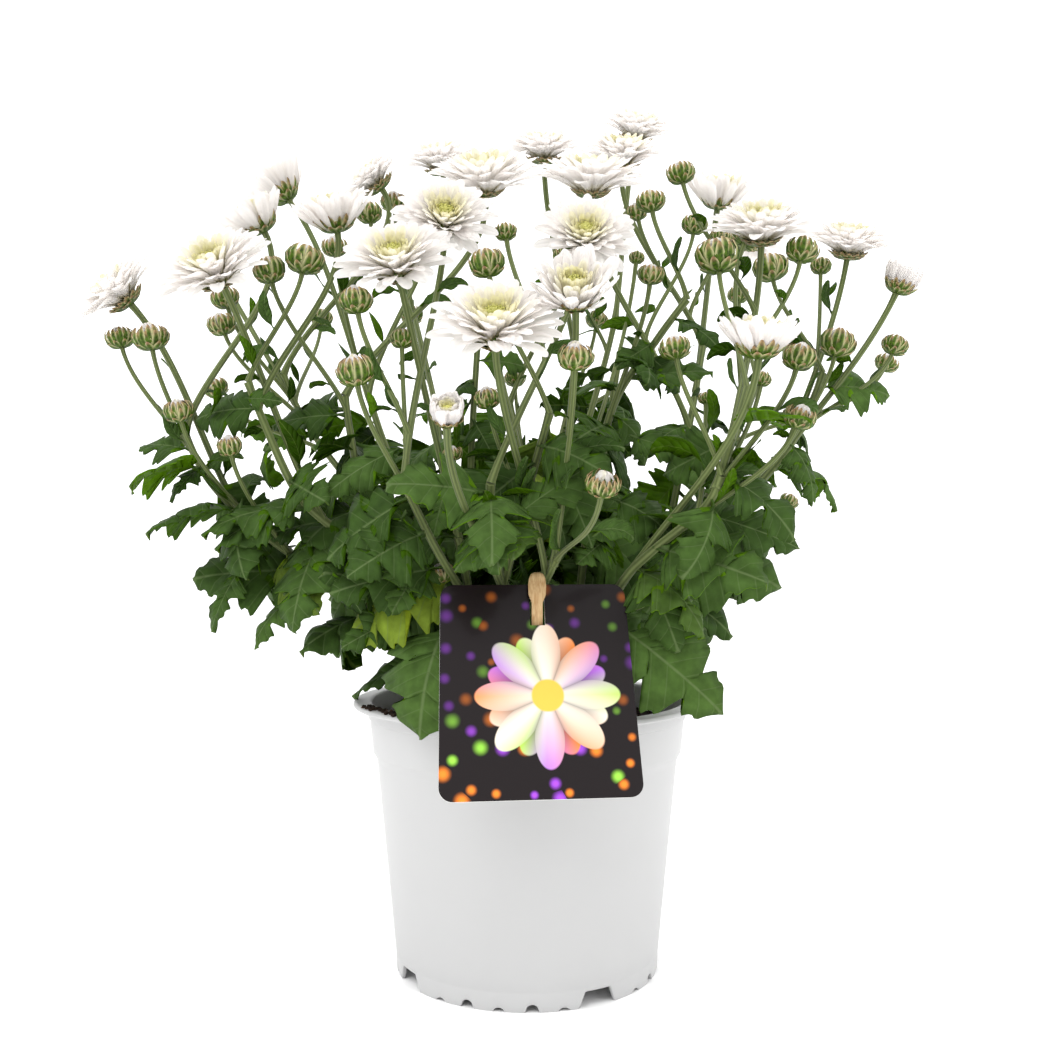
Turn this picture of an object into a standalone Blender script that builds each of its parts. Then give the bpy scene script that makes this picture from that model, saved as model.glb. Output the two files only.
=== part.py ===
"""A potted chrysanthemum: white plastic pot, peat, seven leafy stems, their blooms, and a card on a pick.

The origin is the middle of the pot's foot, on the ground. +Z is up and -Y is the front.
Tables are in millimetres and degrees, and at() turns them into metres.
An azimuth is 0 at the front (-Y) and grows towards the right (+X).
"""
import math
import random

import bmesh
import bpy
from mathutils import Matrix, Vector

MM = 0.001
GAP = 0.3
WELD_DISTANCE = 0.01
TURN_WELD_DISTANCE = 0.05

POT_BASE_RADIUS = 45.0
POT_SHOULDER_RADIUS = 51.8
POT_COLLAR_RADIUS = 55.0
POT_FLANGE_RADIUS = 60.0
POT_HEIGHT = 92.0
POT_WALL = 1.3
POT_FLOOR_HEIGHT = 5.5
POT_STEPS = 32
FOOT_NOTCH_AZIMUTHS = (30, 120, 210, 300)
FOOT_NOTCH_SIZE = (9.0, 13.0, 10.4)
FOOT_CUT_DEPTH = 6.0
FOOT_MIDDLE_RADIUS = 44.3
FOOT_ARCH_RADIUS = 1.8
FOOT_ARCH_SIDES = 6
FOOT_ARCH_HEIGHT = 0.3
FOOT_ARCH_TURNS = (35, 62)
DRAIN_HOLES = 5
DRAIN_HOLE_RADIUS = 4.0
DRAIN_RING_RADIUS = 28.0
HOLE_SIDES = 8

SOIL_TOP = 84.0
SOIL_MOUND = 3.0
SOIL_CLEARANCE = 0.3
SOIL_STEPS = 20

CARD_TOP_WIDTH = 57.0
CARD_BOTTOM_WIDTH = 60.0
CARD_LENGTH = 65.0
CARD_THICKNESS = 0.8
CARD_CORNER = 4.0
CARD_CORNER_POINTS = 4
CARD_LEAN = 20.0
CARD_YAW = 7.0
CARD_MIDDLE = (3.0, -60.6, 103.0)
PICK_X = 3.0
PICK_THICKNESS = 1.6
PICK_TOP = 137.4
PICK_HOLE_SIZE = (6.2, 3.2, 44.0)
PICK_HOLE_FOOT = (-42.3, 45.4)
SLOT_SIZE = (4.6, 8.5)
SLOT_DEPTH = 6.0
SLOT_HEIGHT = 125.4

TRUNK_RADIUS = 2.2
TRUNK_END_RADIUS = 1.5
SIDE_RADIUS = 1.8
SIDE_END_RADIUS = 1.4
STALK_RADIUS = 1.25
BUD_STALK_RADIUS = 0.95
STEM_HOLE_RADIUS = 2.75
STEM_HOLE_DEPTH = 50.0
STEM_FOOT_Z = 58.0
SEAT_RADIUS = 6.2
CUP_DEPTH = 6.4
BLOOM_STALK_LENGTH = 82
BUD_STALK_LENGTH = 46
STALK_SLOPE = 66
LENGTH_COST = 0.5
LEAST_RISE = 12
LOWEST_FORK = 108
STALK_OUT_SHARE = 0.33
STALK_IN_SHARE = 0.30
LEAF_THICKNESS = 1.3
LEAF_WIDTH_SHARE = 0.62
LEAF_LENGTHS = (43.0, 26.0)
LEAF_HEIGHTS = (96.0, 205.0)
LEAF_HEIGHT_RUN = 110.0
LEAF_SPACING = 27
LEAF_FACE = (0.75, 0.75)
LEAF_SWING = 6
LEAF_TRIES = 34
GOLDEN_TURN = 137.5
WEDGE_MARGIN = 0.5
RIM_CLEARANCE = 2.0
RIM_REACH = 50.0
SOIL_CLEAR_HEIGHT = 90.0
RIM_CLEAR_HEIGHT = 94.0
CARD_ROOM = (33.0, -76.0, -43.5, 139.5)
BLOOM_PETALS = 9
HALF_OPEN_PETALS = 8

# Each bloom: x, y, z of its middle, its width, its lean from upright and the azimuth it leans to.
BLOOMS = {
    "bloom_01": (-138, -20, 232, 32, 45, -62),
    "bloom_02": (-99, -45, 235, 39, 42, -25),
    "bloom_03": (-99, 10, 266, 27, 32, -60),
    "bloom_04": (-99, 50, 287, 27, 38, -90),
    "bloom_05": (-65, -20, 260, 28, 18, -30),
    "bloom_06": (-61, 45, 288, 26, 42, -70),
    "bloom_07": (-40, -60, 234, 37, 42, -10),
    "bloom_08": (-26, -37, 252, 34, 55, 5),
    "bloom_09": (-15, -3, 276, 42, 25, -10),
    "bloom_10": (-9, -90, 210, 39, 38, 0),
    "bloom_11": (13, -85, 221, 25, 48, -5),
    "bloom_12": (18, -50, 243, 32, 55, 0),
    "bloom_13": (23, 5, 278, 42, 18, 10),
    "bloom_14": (37, 40, 297, 35, 22, 10),
    "bloom_15": (46, 75, 318, 32, 22, 25),
    "bloom_16": (7, 60, 305, 32, 18, 0),
    "bloom_17": (-34, 55, 299, 32, 18, -20),
    "bloom_18": (75, 45, 285, 29, 20, 15),
    "bloom_19": (76, -30, 252, 36, 26, -8),
    "bloom_20": (117, 15, 257, 33, 20, 12),
    "bloom_21": (135, 10, 242, 19, 24, 70),
    "bloom_22": (65, -85, 208, 24, 12, 10),
    "bloom_23": (-21, -105, 183, 14, 42, 5),
    "bloom_24": (-15, 98, 244, 36, 38, 185),
    "bloom_25": (-129, 70, 261, 34, 36, 240),
    "bloom_26": (-57, 97, 272, 36, 34, 210),
    "bloom_27": (25, 99, 283, 34, 30, 170),
    "bloom_28": (94, 84, 276, 34, 34, 132),
}
HALF_OPEN = ("bloom_03", "bloom_04", "bloom_05", "bloom_11", "bloom_18", "bloom_21", "bloom_22", "bloom_23")

# Each leafy stem keeps to its own wedge of azimuths. Routes run from the soil or a lower route outwards.
# Buds are x, y, z and width. Big leaves are base, tip and width, where the photograph shows them.
STEMS = {
    "stem_front": {
        "wedge": (-20, 30),
        "trunk": [(0, -20, 88), (-4, -30, 115), (-8, -41, 133), (-11, -58, 152), (-10, -76, 178)],
        "sides": [
            [(-4, -30, 115), (4, -41, 131), (10, -58, 144)],
            [(-8, -41, 133), (0, -52, 162), (8, -64, 190)],
        ],
        "blooms": ("bloom_10", "bloom_11", "bloom_12", "bloom_23"),
        "buds": [(13, -92, 198, 10), (20, -100, 163, 9), (-12, -62, 230, 10), (-7, -30, 247, 7),
                 (-12, -60, 190, 8)],
        "big_leaves": [((-6, -56, 150), (24, -60, 174), 16), ((-10, -60, 156), (-12, -82, 146), 13)],
    },
    "stem_front_left": {
        "wedge": (-60, -20),
        "trunk": [(-11, -13, 88), (-16, -27, 115), (-22, -42, 150), (-28, -52, 180), (-33, -55, 202)],
        "sides": [[(-18, -32, 126), (-28, -52, 145), (-38, -68, 168)]],
        "blooms": ("bloom_07", "bloom_08"),
        "buds": [(-48, -85, 195, 10), (-51, -62, 219, 10), (-39, -45, 210, 7), (-27, -42, 137, 8)],
        "big_leaves": [((-17, -30, 118), (-42, -76, 90), 22), ((-16, -26, 112), (-58, -45, 110), 20)],
    },
    "stem_left": {
        "wedge": (-100, -60),
        "trunk": [(-18, -3, 88), (-28, -11, 115), (-45, -21, 135), (-62, -27, 150), (-74, -31, 162),
                  (-84, -34, 184), (-92, -37, 206)],
        "sides": [
            [(-30, -12, 118), (-48, -13, 127), (-66, -15, 134), (-88, -18, 149), (-105, -20, 166),
             (-114, -21, 184), (-121, -21, 202)],
            [(-45, -21, 135), (-54, -22, 160), (-59, -21, 185), (-62, -20, 208)],
            [(-20, -5, 98), (-20, -6, 140), (-19, -6, 180), (-17, -5, 215)],
        ],
        "blooms": ("bloom_01", "bloom_02", "bloom_03", "bloom_05", "bloom_09"),
        "buds": [(-137, -15, 215, 9), (-122, -30, 213, 11), (-110, -40, 188, 9), (-94, -40, 177, 8),
                 (-84, -28, 235, 10), (-72, -30, 238, 12), (-55, 0, 261, 9)],
        "big_leaves": [((-118, -20, 195), (-144, -22, 194), 11), ((-98, -20, 158), (-96, -42, 134), 24),
                       ((-74, -16, 138), (-106, -22, 117), 14), ((-62, -27, 150), (-72, -36, 120), 24),
                       ((-66, -15, 134), (-94, -28, 116), 13), ((-104, -20, 166), (-127, 6, 161), 13)],
    },
    "stem_back_left": {
        "wedge": (-155, -100),
        "trunk": [(-14, 11, 88), (-24, 20, 118), (-40, 30, 150), (-54, 40, 182), (-62, 44, 205)],
        "sides": [
            [(-30, 24, 130), (-60, 36, 160), (-84, 42, 190), (-96, 46, 215)],
            [(-24, 20, 118), (-30, 34, 150), (-34, 48, 185), (-38, 62, 215)],
        ],
        "blooms": ("bloom_04", "bloom_06", "bloom_17", "bloom_25", "bloom_26"),
        "buds": [(-114, 30, 227, 10), (-114, 35, 238, 10), (-53, 60, 281, 10), (-71, 25, 255, 9),
                 (-85, 80, 238, 9), (-120, 45, 205, 9), (-48, 84, 240, 9)],
        "big_leaves": [((-60, 36, 160), (-100, 44, 145), 24), ((-30, 28, 140), (-50, 72, 128), 24)],
    },
    "stem_back": {
        "wedge": (-215, -155),
        "trunk": [(2, 17, 88), (4, 28, 120), (7, 42, 155), (10, 54, 190), (12, 62, 220)],
        "sides": [
            [(6, 36, 140), (20, 50, 180), (32, 62, 220), (40, 70, 255)],
            [(5, 34, 135), (2, 60, 160), (-4, 82, 190), (-9, 96, 212)],
            [(8, 46, 165), (16, 74, 195), (22, 94, 225)],
        ],
        "blooms": ("bloom_15", "bloom_16", "bloom_24", "bloom_27"),
        "buds": [(-5, 95, 215, 9), (30, 96, 240, 9), (50, 90, 225, 9), (15, 70, 262, 8)],
        "big_leaves": [((4, 52, 152), (-6, 92, 138), 24), ((5, 34, 130), (26, 74, 108), 26)],
    },
    "stem_right": {
        "wedge": (85, 145),
        "trunk": [(16, 7, 88), (26, 8, 112), (46, 8, 132), (70, 7, 154), (92, 9, 178), (102, 11, 196),
                  (110, 13, 218)],
        "sides": [
            [(18, 8, 98), (22, 10, 140), (28, 14, 180), (34, 20, 215)],
            [(46, 8, 132), (54, 14, 165), (62, 24, 200), (68, 34, 230)],
            [(32, 9, 118), (60, 30, 150), (84, 55, 190), (98, 75, 220)],
        ],
        "blooms": ("bloom_13", "bloom_14", "bloom_18", "bloom_20", "bloom_21", "bloom_28"),
        "buds": [(62, 25, 263, 9), (88, 15, 245, 12), (74, 40, 262, 8), (109, 3, 216, 12),
                 (133, 15, 217, 9), (111, 35, 250, 8), (41, 30, 269, 8),
                 (90, 92, 250, 9), (142, 55, 216, 9)],
        "big_leaves": [((92, 9, 178), (124, 10, 148), 7), ((108, 12, 210), (137, 8, 211), 9),
                       ((86, 8, 172), (108, 1, 162), 15), ((60, 30, 150), (96, 46, 134), 22)],
    },
    "stem_front_right": {
        "wedge": (30, 85),
        "trunk": [(13, -9, 88), (20, -20, 112), (30, -41, 134), (38, -53, 144), (52, -66, 157),
                  (57, -70, 168), (62, -75, 182)],
        "sides": [
            [(15, -12, 98), (20, -18, 150), (28, -22, 190), (42, -28, 212), (54, -32, 228)],
            [(55, -68, 163), (65, -58, 190), (74, -45, 214)],
        ],
        "blooms": ("bloom_19", "bloom_22"),
        "buds": [(39, -40, 231, 8), (40, -30, 257, 9), (51, -20, 269, 9), (60, -40, 237, 13),
                 (44, -60, 205, 9), (89, -30, 241, 10), (79, -70, 201, 10), (78, -75, 183, 9)],
        "big_leaves": [((54, -67, 158), (86, -55, 143), 16), ((38, -53, 145), (76, -62, 134), 24),
                       ((36, -50, 142), (42, -64, 116), 16), ((22, -24, 115), (60, -66, 96), 23)],
    },
}

# Half of a leaf's outline: the share of its length from the base, and the share of its half width.
LEAF_OUTLINE = ((0.24, 0.09), (0.38, 0.60), (0.46, 0.36), (0.64, 1.0), (0.70, 0.52), (0.86, 0.56))
LEAF_MIDRIB = (0.24, 0.60)

# Rings of a bloom from its seat to its middle, in shares of its radius.
# A plain ring has points, radius and height. A petal ring has petals, then radius and height
# at the tips and radius and height in the notches between them.
OPEN_RINGS = (
    ("plain", 6, 0.33, 0.0),
    ("petal", BLOOM_PETALS, 1.0, 0.17, 0.60, 0.18, 0.0),
    ("plain", BLOOM_PETALS, 0.40, 0.31),
    ("petal", BLOOM_PETALS, 0.80, 0.46, 0.52, 0.41, 0.5),
    ("plain", BLOOM_PETALS, 0.30, 0.47),
    ("petal", 7, 0.52, 0.64, 0.36, 0.57, 0.25),
    ("plain", 6, 0.20, 0.50),
)
HALF_OPEN_RINGS = (
    ("plain", 6, 0.44, 0.0),
    ("plain", HALF_OPEN_PETALS, 0.78, 0.32),
    ("petal", HALF_OPEN_PETALS, 1.0, 0.98, 0.84, 0.62, 0.0),
    ("plain", HALF_OPEN_PETALS, 0.64, 0.70),
    ("petal", HALF_OPEN_PETALS, 0.60, 1.08, 0.50, 0.86, 0.5),
    ("plain", 6, 0.28, 0.70),
)
OPEN_MIDDLE_HEIGHT = 0.54
HALF_OPEN_MIDDLE_HEIGHT = 0.66
OPEN_CENTRE = 0.30
HALF_OPEN_CENTRE = 0.50

COLOURS = {
    "pot": (0.86, 0.86, 0.86, 1.0),
    "soil": (0.03, 0.02, 0.014, 1.0),
    "card": (0.02, 0.012, 0.012, 1.0),
    "pick": (0.68, 0.47, 0.26, 1.0),
    "stem": (0.10, 0.19, 0.035, 1.0),
    "bloom": (0.88, 0.87, 0.85, 1.0),
}
ROUGHNESS = {"pot": 0.5, "soil": 0.95, "card": 0.25, "pick": 0.7, "stem": 0.6, "bloom": 0.55}


def at(point):
    """A point in millimetres as a vector in metres."""
    return Vector(point) * MM


def ahead(azimuth):
    """The level direction of an azimuth."""
    angle = math.radians(azimuth)
    return Vector((math.sin(angle), -math.cos(angle), 0.0))


def clear_scene():
    for thing in list(bpy.data.objects):
        bpy.data.objects.remove(thing)


def make_collection(name):
    group = bpy.data.collections.new(name)
    bpy.context.scene.collection.children.link(group)
    return group


def make_material(name):
    material = bpy.data.materials.new(name)
    material.use_nodes = True
    shader = material.node_tree.nodes["Principled BSDF"]
    shader.inputs["Base Color"].default_value = COLOURS[name]
    shader.inputs["Roughness"].default_value = ROUGHNESS[name]
    shader.inputs["Metallic"].default_value = 0.0
    return material


def add_object(name, mesh, group, material=None):
    thing = bpy.data.objects.new(name, mesh)
    group.objects.link(thing)
    if material:
        mesh.materials.append(material)
    return thing


def mesh_from(bm, name):
    """The bmesh as a mesh with its faces pointing out."""
    bmesh.ops.recalc_face_normals(bm, faces=bm.faces)
    mesh = bpy.data.meshes.new(name)
    bm.to_mesh(mesh)
    bm.free()
    return mesh


def baked(thing):
    """The object's evaluated mesh, with curve caps welded."""
    graph = bpy.context.evaluated_depsgraph_get()
    mesh = bpy.data.meshes.new_from_object(thing.evaluated_get(graph))
    bm = bmesh.new()
    bm.from_mesh(mesh)
    bmesh.ops.remove_doubles(bm, verts=bm.verts, dist=WELD_DISTANCE * MM)
    bm.to_mesh(mesh)
    bm.free()
    return mesh


def hide_cutter(cutter):
    cutter.hide_render = True
    cutter.display_type = "WIRE"


def subtract(thing, cutter):
    cut = thing.modifiers.new(cutter.name, "BOOLEAN")
    cut.operation = "DIFFERENCE"
    cut.object = cutter
    hide_cutter(cutter)


def subtract_all(thing, cutters):
    cut = thing.modifiers.new(cutters.name, "BOOLEAN")
    cut.operation = "DIFFERENCE"
    cut.operand_type = "COLLECTION"
    cut.collection = cutters


def turned(name, profile, steps, group, material):
    """A solid turned about Z from a profile of radius and height in millimetres."""
    mesh = bpy.data.meshes.new(name)
    points = [at((radius, 0, height)) for radius, height in profile]
    mesh.from_pydata(points, [(i, i + 1) for i in range(len(points) - 1)], [])
    thing = add_object(name, mesh, group, material)
    screw = thing.modifiers.new("turn", "SCREW")
    screw.steps = steps
    screw.render_steps = steps
    screw.use_merge_vertices = True
    screw.merge_threshold = TURN_WELD_DISTANCE * MM
    return thing


def zip_rings(bm, lower, upper):
    """Triangles between two closed rings of (angle, vertex), each in order of angle."""
    i = j = 0
    turn = 2 * math.pi
    while i < len(lower) or j < len(upper):
        next_low = lower[(i + 1) % len(lower)][0] + turn * ((i + 1) // len(lower))
        next_up = upper[(j + 1) % len(upper)][0] + turn * ((j + 1) // len(upper))
        low, up = lower[i % len(lower)][1], upper[j % len(upper)][1]
        if j == len(upper) or (i < len(lower) and next_low <= next_up):
            bm.faces.new((low, lower[(i + 1) % len(lower)][1], up))
            i += 1
        else:
            bm.faces.new((low, upper[(j + 1) % len(upper)][1], up))
            j += 1


def ring_of(bm, points):
    """Vertices for a ring given as angle, radius and height."""
    return [(angle, bm.verts.new((radius * math.cos(angle), radius * math.sin(angle), height)))
            for angle, radius, height in points]


def close_ring(bm, ring, pole, upper):
    """A fan from the ring to its pole."""
    for i, (_, vertex) in enumerate(ring):
        following = ring[(i + 1) % len(ring)][1]
        bm.faces.new((vertex, following, pole) if upper else (following, vertex, pole))


def loft_rings(rings, bottom, top):
    """A closed solid from rings of (angle, radius, height), with a point at each end."""
    bm = bmesh.new()
    made = [ring_of(bm, ring) for ring in rings]
    close_ring(bm, made[0], bm.verts.new((0, 0, bottom)), upper=False)
    for lower, upper in zip(made, made[1:]):
        zip_rings(bm, lower, upper)
    close_ring(bm, made[-1], bm.verts.new((0, 0, top)), upper=True)
    return bm


def plain_ring(count, radius, height):
    return [(2 * math.pi * i / count, radius, height) for i in range(count)]


def petal_ring(petals, tip, tip_height, notch, notch_height, phase, draw):
    """A ring of blunt petals. Each has a notch at its start and two corners at its tip."""
    step = 2 * math.pi / petals
    points = []
    for i in range(petals):
        start = step * (i + phase - 0.5)
        reach = tip * draw.uniform(0.90, 1.0)
        lift = tip_height * draw.uniform(0.92, 1.08)
        points.append((start, notch, notch_height))
        points.append((start + 0.30 * step, reach, lift))
        points.append((start + 0.70 * step, reach, lift))
    return points


def bloom_mesh(name, width):
    draw = random.Random(name)
    radius = width * MM / 2
    half_open = name in HALF_OPEN
    rings = []
    for kind, count, *sizes in HALF_OPEN_RINGS if half_open else OPEN_RINGS:
        if kind == "plain":
            rings.append(plain_ring(count, *sizes))
        else:
            rings.append(petal_ring(count, *sizes, draw))
    rings = [[(angle, r * radius, h * radius) for angle, r, h in ring] for ring in rings]
    middle = HALF_OPEN_MIDDLE_HEIGHT if half_open else OPEN_MIDDLE_HEIGHT
    return mesh_from(loft_rings(rings, 0.0, middle * radius), name)


def lean_matrix(lean, azimuth):
    """The turn from upright to a lean towards an azimuth."""
    axis = Vector((0, 0, 1)).cross(ahead(azimuth))
    return Matrix.Rotation(math.radians(lean), 4, axis)


def bloom_axis(name):
    lean, azimuth = BLOOMS[name][4:]
    return lean_matrix(lean, azimuth) @ Vector((0, 0, 1))


def bloom_seat(name):
    """Where the bloom sits on its green cup."""
    x, y, z, width = BLOOMS[name][:4]
    centre = HALF_OPEN_CENTRE if name in HALF_OPEN else OPEN_CENTRE
    return at((x, y, z)) - bloom_axis(name) * centre * width * MM / 2


def smooth_route(points, count):
    """Points read evenly from a smooth curve through the given ones."""
    points = [Vector(p) for p in points]
    ends = [2 * points[0] - points[1]] + points + [2 * points[-1] - points[-2]]
    route = []
    spans = len(points) - 1
    for k in range(count):
        place = spans * k / (count - 1)
        i = min(int(place), spans - 1)
        t = place - i
        a, b, c, d = ends[i:i + 4]
        route.append(0.5 * (2 * b + (c - a) * t + (2 * a - 5 * b + 4 * c - d) * t * t
                            + (3 * b - a - 3 * c + d) * t ** 3))
    return route


def tube(name, route, radii, resolution, group):
    """A closed tube along a route, with a radius at each point."""
    curve = bpy.data.curves.new(name, "CURVE")
    curve.dimensions = "3D"
    curve.bevel_depth = MM
    curve.bevel_resolution = resolution
    curve.use_fill_caps = True
    spline = curve.splines.new("POLY")
    spline.points.add(len(route) - 1)
    for point, place, radius in zip(spline.points, route, radii):
        point.co = (*place, 1.0)
        point.radius = radius
    drawn = bpy.data.objects.new(name, curve)
    group.objects.link(drawn)
    solid = add_object(name + "_solid", baked(drawn), group)
    solid.matrix_world = drawn.matrix_world
    bpy.data.objects.remove(drawn)
    return solid


def taper(first, last, count):
    return [first + (last - first) * i / (count - 1) for i in range(count)]


def join_point(routes, head, length):
    """The place on the routes where a stalk of about this length and a steep rise leaves for the head."""
    best = None
    for route in routes:
        for low, high in zip(route, route[1:]):
            for share in (0.0, 0.25, 0.5, 0.75):
                place = low.lerp(high, share)
                rise = head - place
                if rise.z < LEAST_RISE * MM or place.z < LOWEST_FORK * MM:
                    continue
                slope = math.degrees(math.asin(rise.z / rise.length))
                cost = abs(slope - STALK_SLOPE) + LENGTH_COST * abs(rise.length / MM - length)
                if best is None or cost < best[0]:
                    best = (cost, place, (high - low).normalized())
    return best[1], best[2]


def stalk_route(start, leaving, head, axis, count):
    """A stalk that leaves along its parent and arrives along the head's axis."""
    length = (head - start).length
    heading = (leaving + (head - start).normalized()).normalized()
    out = start + heading * STALK_OUT_SHARE * length
    into = head - axis * STALK_IN_SHARE * length
    route = []
    for i in range(count):
        t = i / (count - 1)
        s = 1 - t
        route.append(s ** 3 * start + 3 * s * s * t * out + 3 * s * t * t * into + t ** 3 * head)
    return route


def turned_to(axis):
    return Vector((0, 0, 1)).rotation_difference(axis).to_matrix().to_4x4()


def lofted_route(name, stations, group):
    """A closed solid along a route. A station is its place, axis, radius and number of sides."""
    bm = bmesh.new()
    rings = []
    for place, axis, radius, sides in stations[1:-1]:
        turn = turned_to(axis)
        ring = []
        for angle, reach, _ in plain_ring(sides, radius, 0.0):
            flat = Vector((reach * math.cos(angle), reach * math.sin(angle), 0.0))
            ring.append((angle, bm.verts.new(place + turn @ flat)))
        rings.append(ring)
    close_ring(bm, rings[0], bm.verts.new(stations[0][0]), upper=False)
    for lower, upper in zip(rings, rings[1:]):
        zip_rings(bm, lower, upper)
    close_ring(bm, rings[-1], bm.verts.new(stations[-1][0]), upper=True)
    return add_object(name, mesh_from(bm, name), group)


def route_stations(route, radius, sides):
    """Stations along a route, square to it."""
    stations = [(route[0], None, 0.0, 0)]
    for i, place in enumerate(route):
        low, high = route[max(i - 1, 0)], route[min(i + 1, len(route) - 1)]
        stations.append((place, (high - low).normalized(), radius, sides))
    stations[0] = (route[0] - stations[1][1] * 0.3 * MM, None, 0.0, 0)
    return stations


def stalk_with_cup(name, route, seat, axis, group):
    """A bloom's stalk, widening at its end into the green cup under the bloom."""
    stations = route_stations(route, STALK_RADIUS * MM, 4)
    for depth, share in ((0.62 * CUP_DEPTH, 0.74), (GAP, 1.0)):
        stations.append((seat - axis * depth * MM, axis, share * SEAT_RADIUS * MM, 6))
    stations.append((seat - axis * GAP * MM, axis, 0.0, 0))
    return lofted_route(name, stations, group)


def stalk_with_bud(name, route, middle, width, axis, group):
    """A bud's stalk, widening at its end into a slightly flattened bud."""
    radius = width * MM / 2
    stations = route_stations(route, BUD_STALK_RADIUS * MM, 3)
    for height, share in ((-0.45, 0.84), (0.24, 0.97)):
        stations.append((middle + axis * height * radius, axis, share * radius, 7))
    stations.append((middle + axis * 0.72 * radius, axis, 0.0, 0))
    return lofted_route(name, stations, group)


def zip_sides(bm, edge, rib, flip):
    """Triangles between a leaf's edge and its midrib, both in order from base to tip."""
    i = j = 0
    while i < len(edge) - 1 or j < len(rib) - 1:
        step_edge = edge[i + 1][0] if i < len(edge) - 1 else 9.0
        step_rib = rib[j + 1][0] if j < len(rib) - 1 else 9.0
        if step_edge <= step_rib:
            corners = [edge[i][1], edge[i + 1][1], rib[j][1]]
            i += 1
        else:
            corners = [edge[i][1], rib[j + 1][1], rib[j][1]]
            j += 1
        if len(set(corners)) == 3:
            bm.faces.new(corners[::-1] if flip else corners)


def leaf_frame(base, tip):
    """The side and face directions of a leaf, whose face looks up and outwards."""
    along = (tip - base).normalized()
    outward = Vector((base.x, base.y, 0)).normalized()
    face = Vector((0, 0, LEAF_FACE[0])) + LEAF_FACE[1] * outward
    side = along.cross(face).normalized()
    return side, side.cross(along).normalized()


def leaf_points(base, tip, width, arch, draw):
    """The leaf's edges and its upper and lower midrib, as shares of its length and places."""
    side, face = leaf_frame(base, tip)
    length = (tip - base).length

    def spine(share):
        return base.lerp(tip, share) + face * arch * length * 4 * share * (1 - share)

    edges = []
    for hand in (-1, 1):
        edge = [(0.0, base)]
        for share, reach in LEAF_OUTLINE:
            out = reach * width / 2 * draw.uniform(0.88, 1.0)
            wave = face * (0.10 * out if reach > 0.5 else 0.22 * out)
            edge.append((share, spine(share) + side * hand * out + wave))
        edges.append(edge + [(1.0, tip)])
    half = face * LEAF_THICKNESS * MM / 2
    ribs = [[(share, spine(share) + half * way) for share in LEAF_MIDRIB] for way in (1, -1)]
    return edges, ribs


def leaf_mesh(name, edges, ribs):
    bm = bmesh.new()
    base = bm.verts.new(edges[0][0][1])
    tip = bm.verts.new(edges[0][-1][1])
    sides = [[(0.0, base)] + [(share, bm.verts.new(place)) for share, place in edge[1:-1]] + [(1.0, tip)]
             for edge in edges]
    for way, rib in enumerate(ribs):
        middle = [(0.0, base)] + [(share, bm.verts.new(place)) for share, place in rib] + [(1.0, tip)]
        for hand, edge in enumerate(sides):
            zip_sides(bm, edge, middle, flip=(way != hand))
    return mesh_from(bm, name)


def keeps_clear(points, wedge):
    """Whether all points lie in the stem's wedge, and clear of the pot, the soil and the card."""
    low, high = ahead(wedge[0]), ahead(wedge[1])
    for point in points:
        if low.x * point.y - low.y * point.x < WEDGE_MARGIN * MM:
            return False
        if point.x * high.y - point.y * high.x < WEDGE_MARGIN * MM:
            return False
        reach = math.hypot(point.x, point.y) / MM
        lowest = RIM_CLEAR_HEIGHT if reach > RIM_REACH else SOIL_CLEAR_HEIGHT
        if point.z / MM < lowest and reach < POT_FLANGE_RADIUS + RIM_CLEARANCE:
            return False
        across, front, behind, top = CARD_ROOM
        if abs(point.x) / MM < across and front < point.y / MM < behind and point.z / MM < top:
            return False
    return True


def grow_leaf(name, base, tip, width, arch, wedge, draw, group):
    """A leaf that is turned about its base, little by little, until it keeps clear."""
    state = draw.getstate()
    for step in range(LEAF_TRIES):
        turn = LEAF_SWING * ((step + 1) // 2) * (1 if step % 2 else -1)
        swung = base + Matrix.Rotation(math.radians(turn), 3, "Z") @ (tip - base)
        draw.setstate(state)
        edges, ribs = leaf_points(base, swung, width * MM, arch, draw)
        places = [place for line in edges + ribs for _, place in line][1:]
        if keeps_clear(places, wedge):
            return add_object(name, leaf_mesh(name, edges, ribs), group)
    return None


def nearest_on(routes, point):
    """The nearest place to a point on the routes."""
    best = None
    for route in routes:
        for low, high in zip(route, route[1:]):
            run = high - low
            share = max(0.0, min(1.0, (point - low).dot(run) / run.length_squared))
            place = low + run * share
            if best is None or (place - point).length < best[0]:
                best = ((place - point).length, place)
    return best[1]


def fill_leaves(name, routes, wedge, draw, group):
    """Leaves up each route, turned by the golden angle from one to the next."""
    middle = (wedge[0] + wedge[1]) / 2
    lowest, highest = LEAF_HEIGHTS
    longest, shortest = LEAF_LENGTHS
    made = 0
    for number, route in enumerate(routes):
        heading = draw.uniform(-60, 60)
        travelled = 0.0
        for low, high in zip(route, route[1:]):
            travelled += (high - low).length / MM
            if travelled < LEAF_SPACING or not lowest <= low.z / MM <= highest:
                continue
            travelled = 0.0
            heading = (heading + GOLDEN_TURN + 90) % 180 - 90
            share = (low.z / MM - lowest) / LEAF_HEIGHT_RUN
            length = (longest + (shortest - longest) * share) * draw.uniform(0.85, 1.1)
            out = ahead(middle + heading * 0.8)
            tip = low + (out + Vector((0, 0, 0.45 * share - 0.45))).normalized() * length * MM
            width = LEAF_WIDTH_SHARE * length
            made += grow_leaf(f"{name}_leaf_{number}_{made}", low, tip, width, 0.06, wedge, draw,
                              group) is not None
    return made


def join_all(name, first, pieces, group, material):
    """One solid from the first object and a collection of others."""
    union = first.modifiers.new("join", "BOOLEAN")
    union.operation = "UNION"
    union.operand_type = "COLLECTION"
    union.collection = pieces
    union.solver = "EXACT"
    mesh = baked(first)
    mesh.name = name
    for thing in list(pieces.objects) + [first]:
        bpy.data.objects.remove(thing)
    bpy.data.collections.remove(pieces)
    return add_object(name, mesh, group, material)


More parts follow.
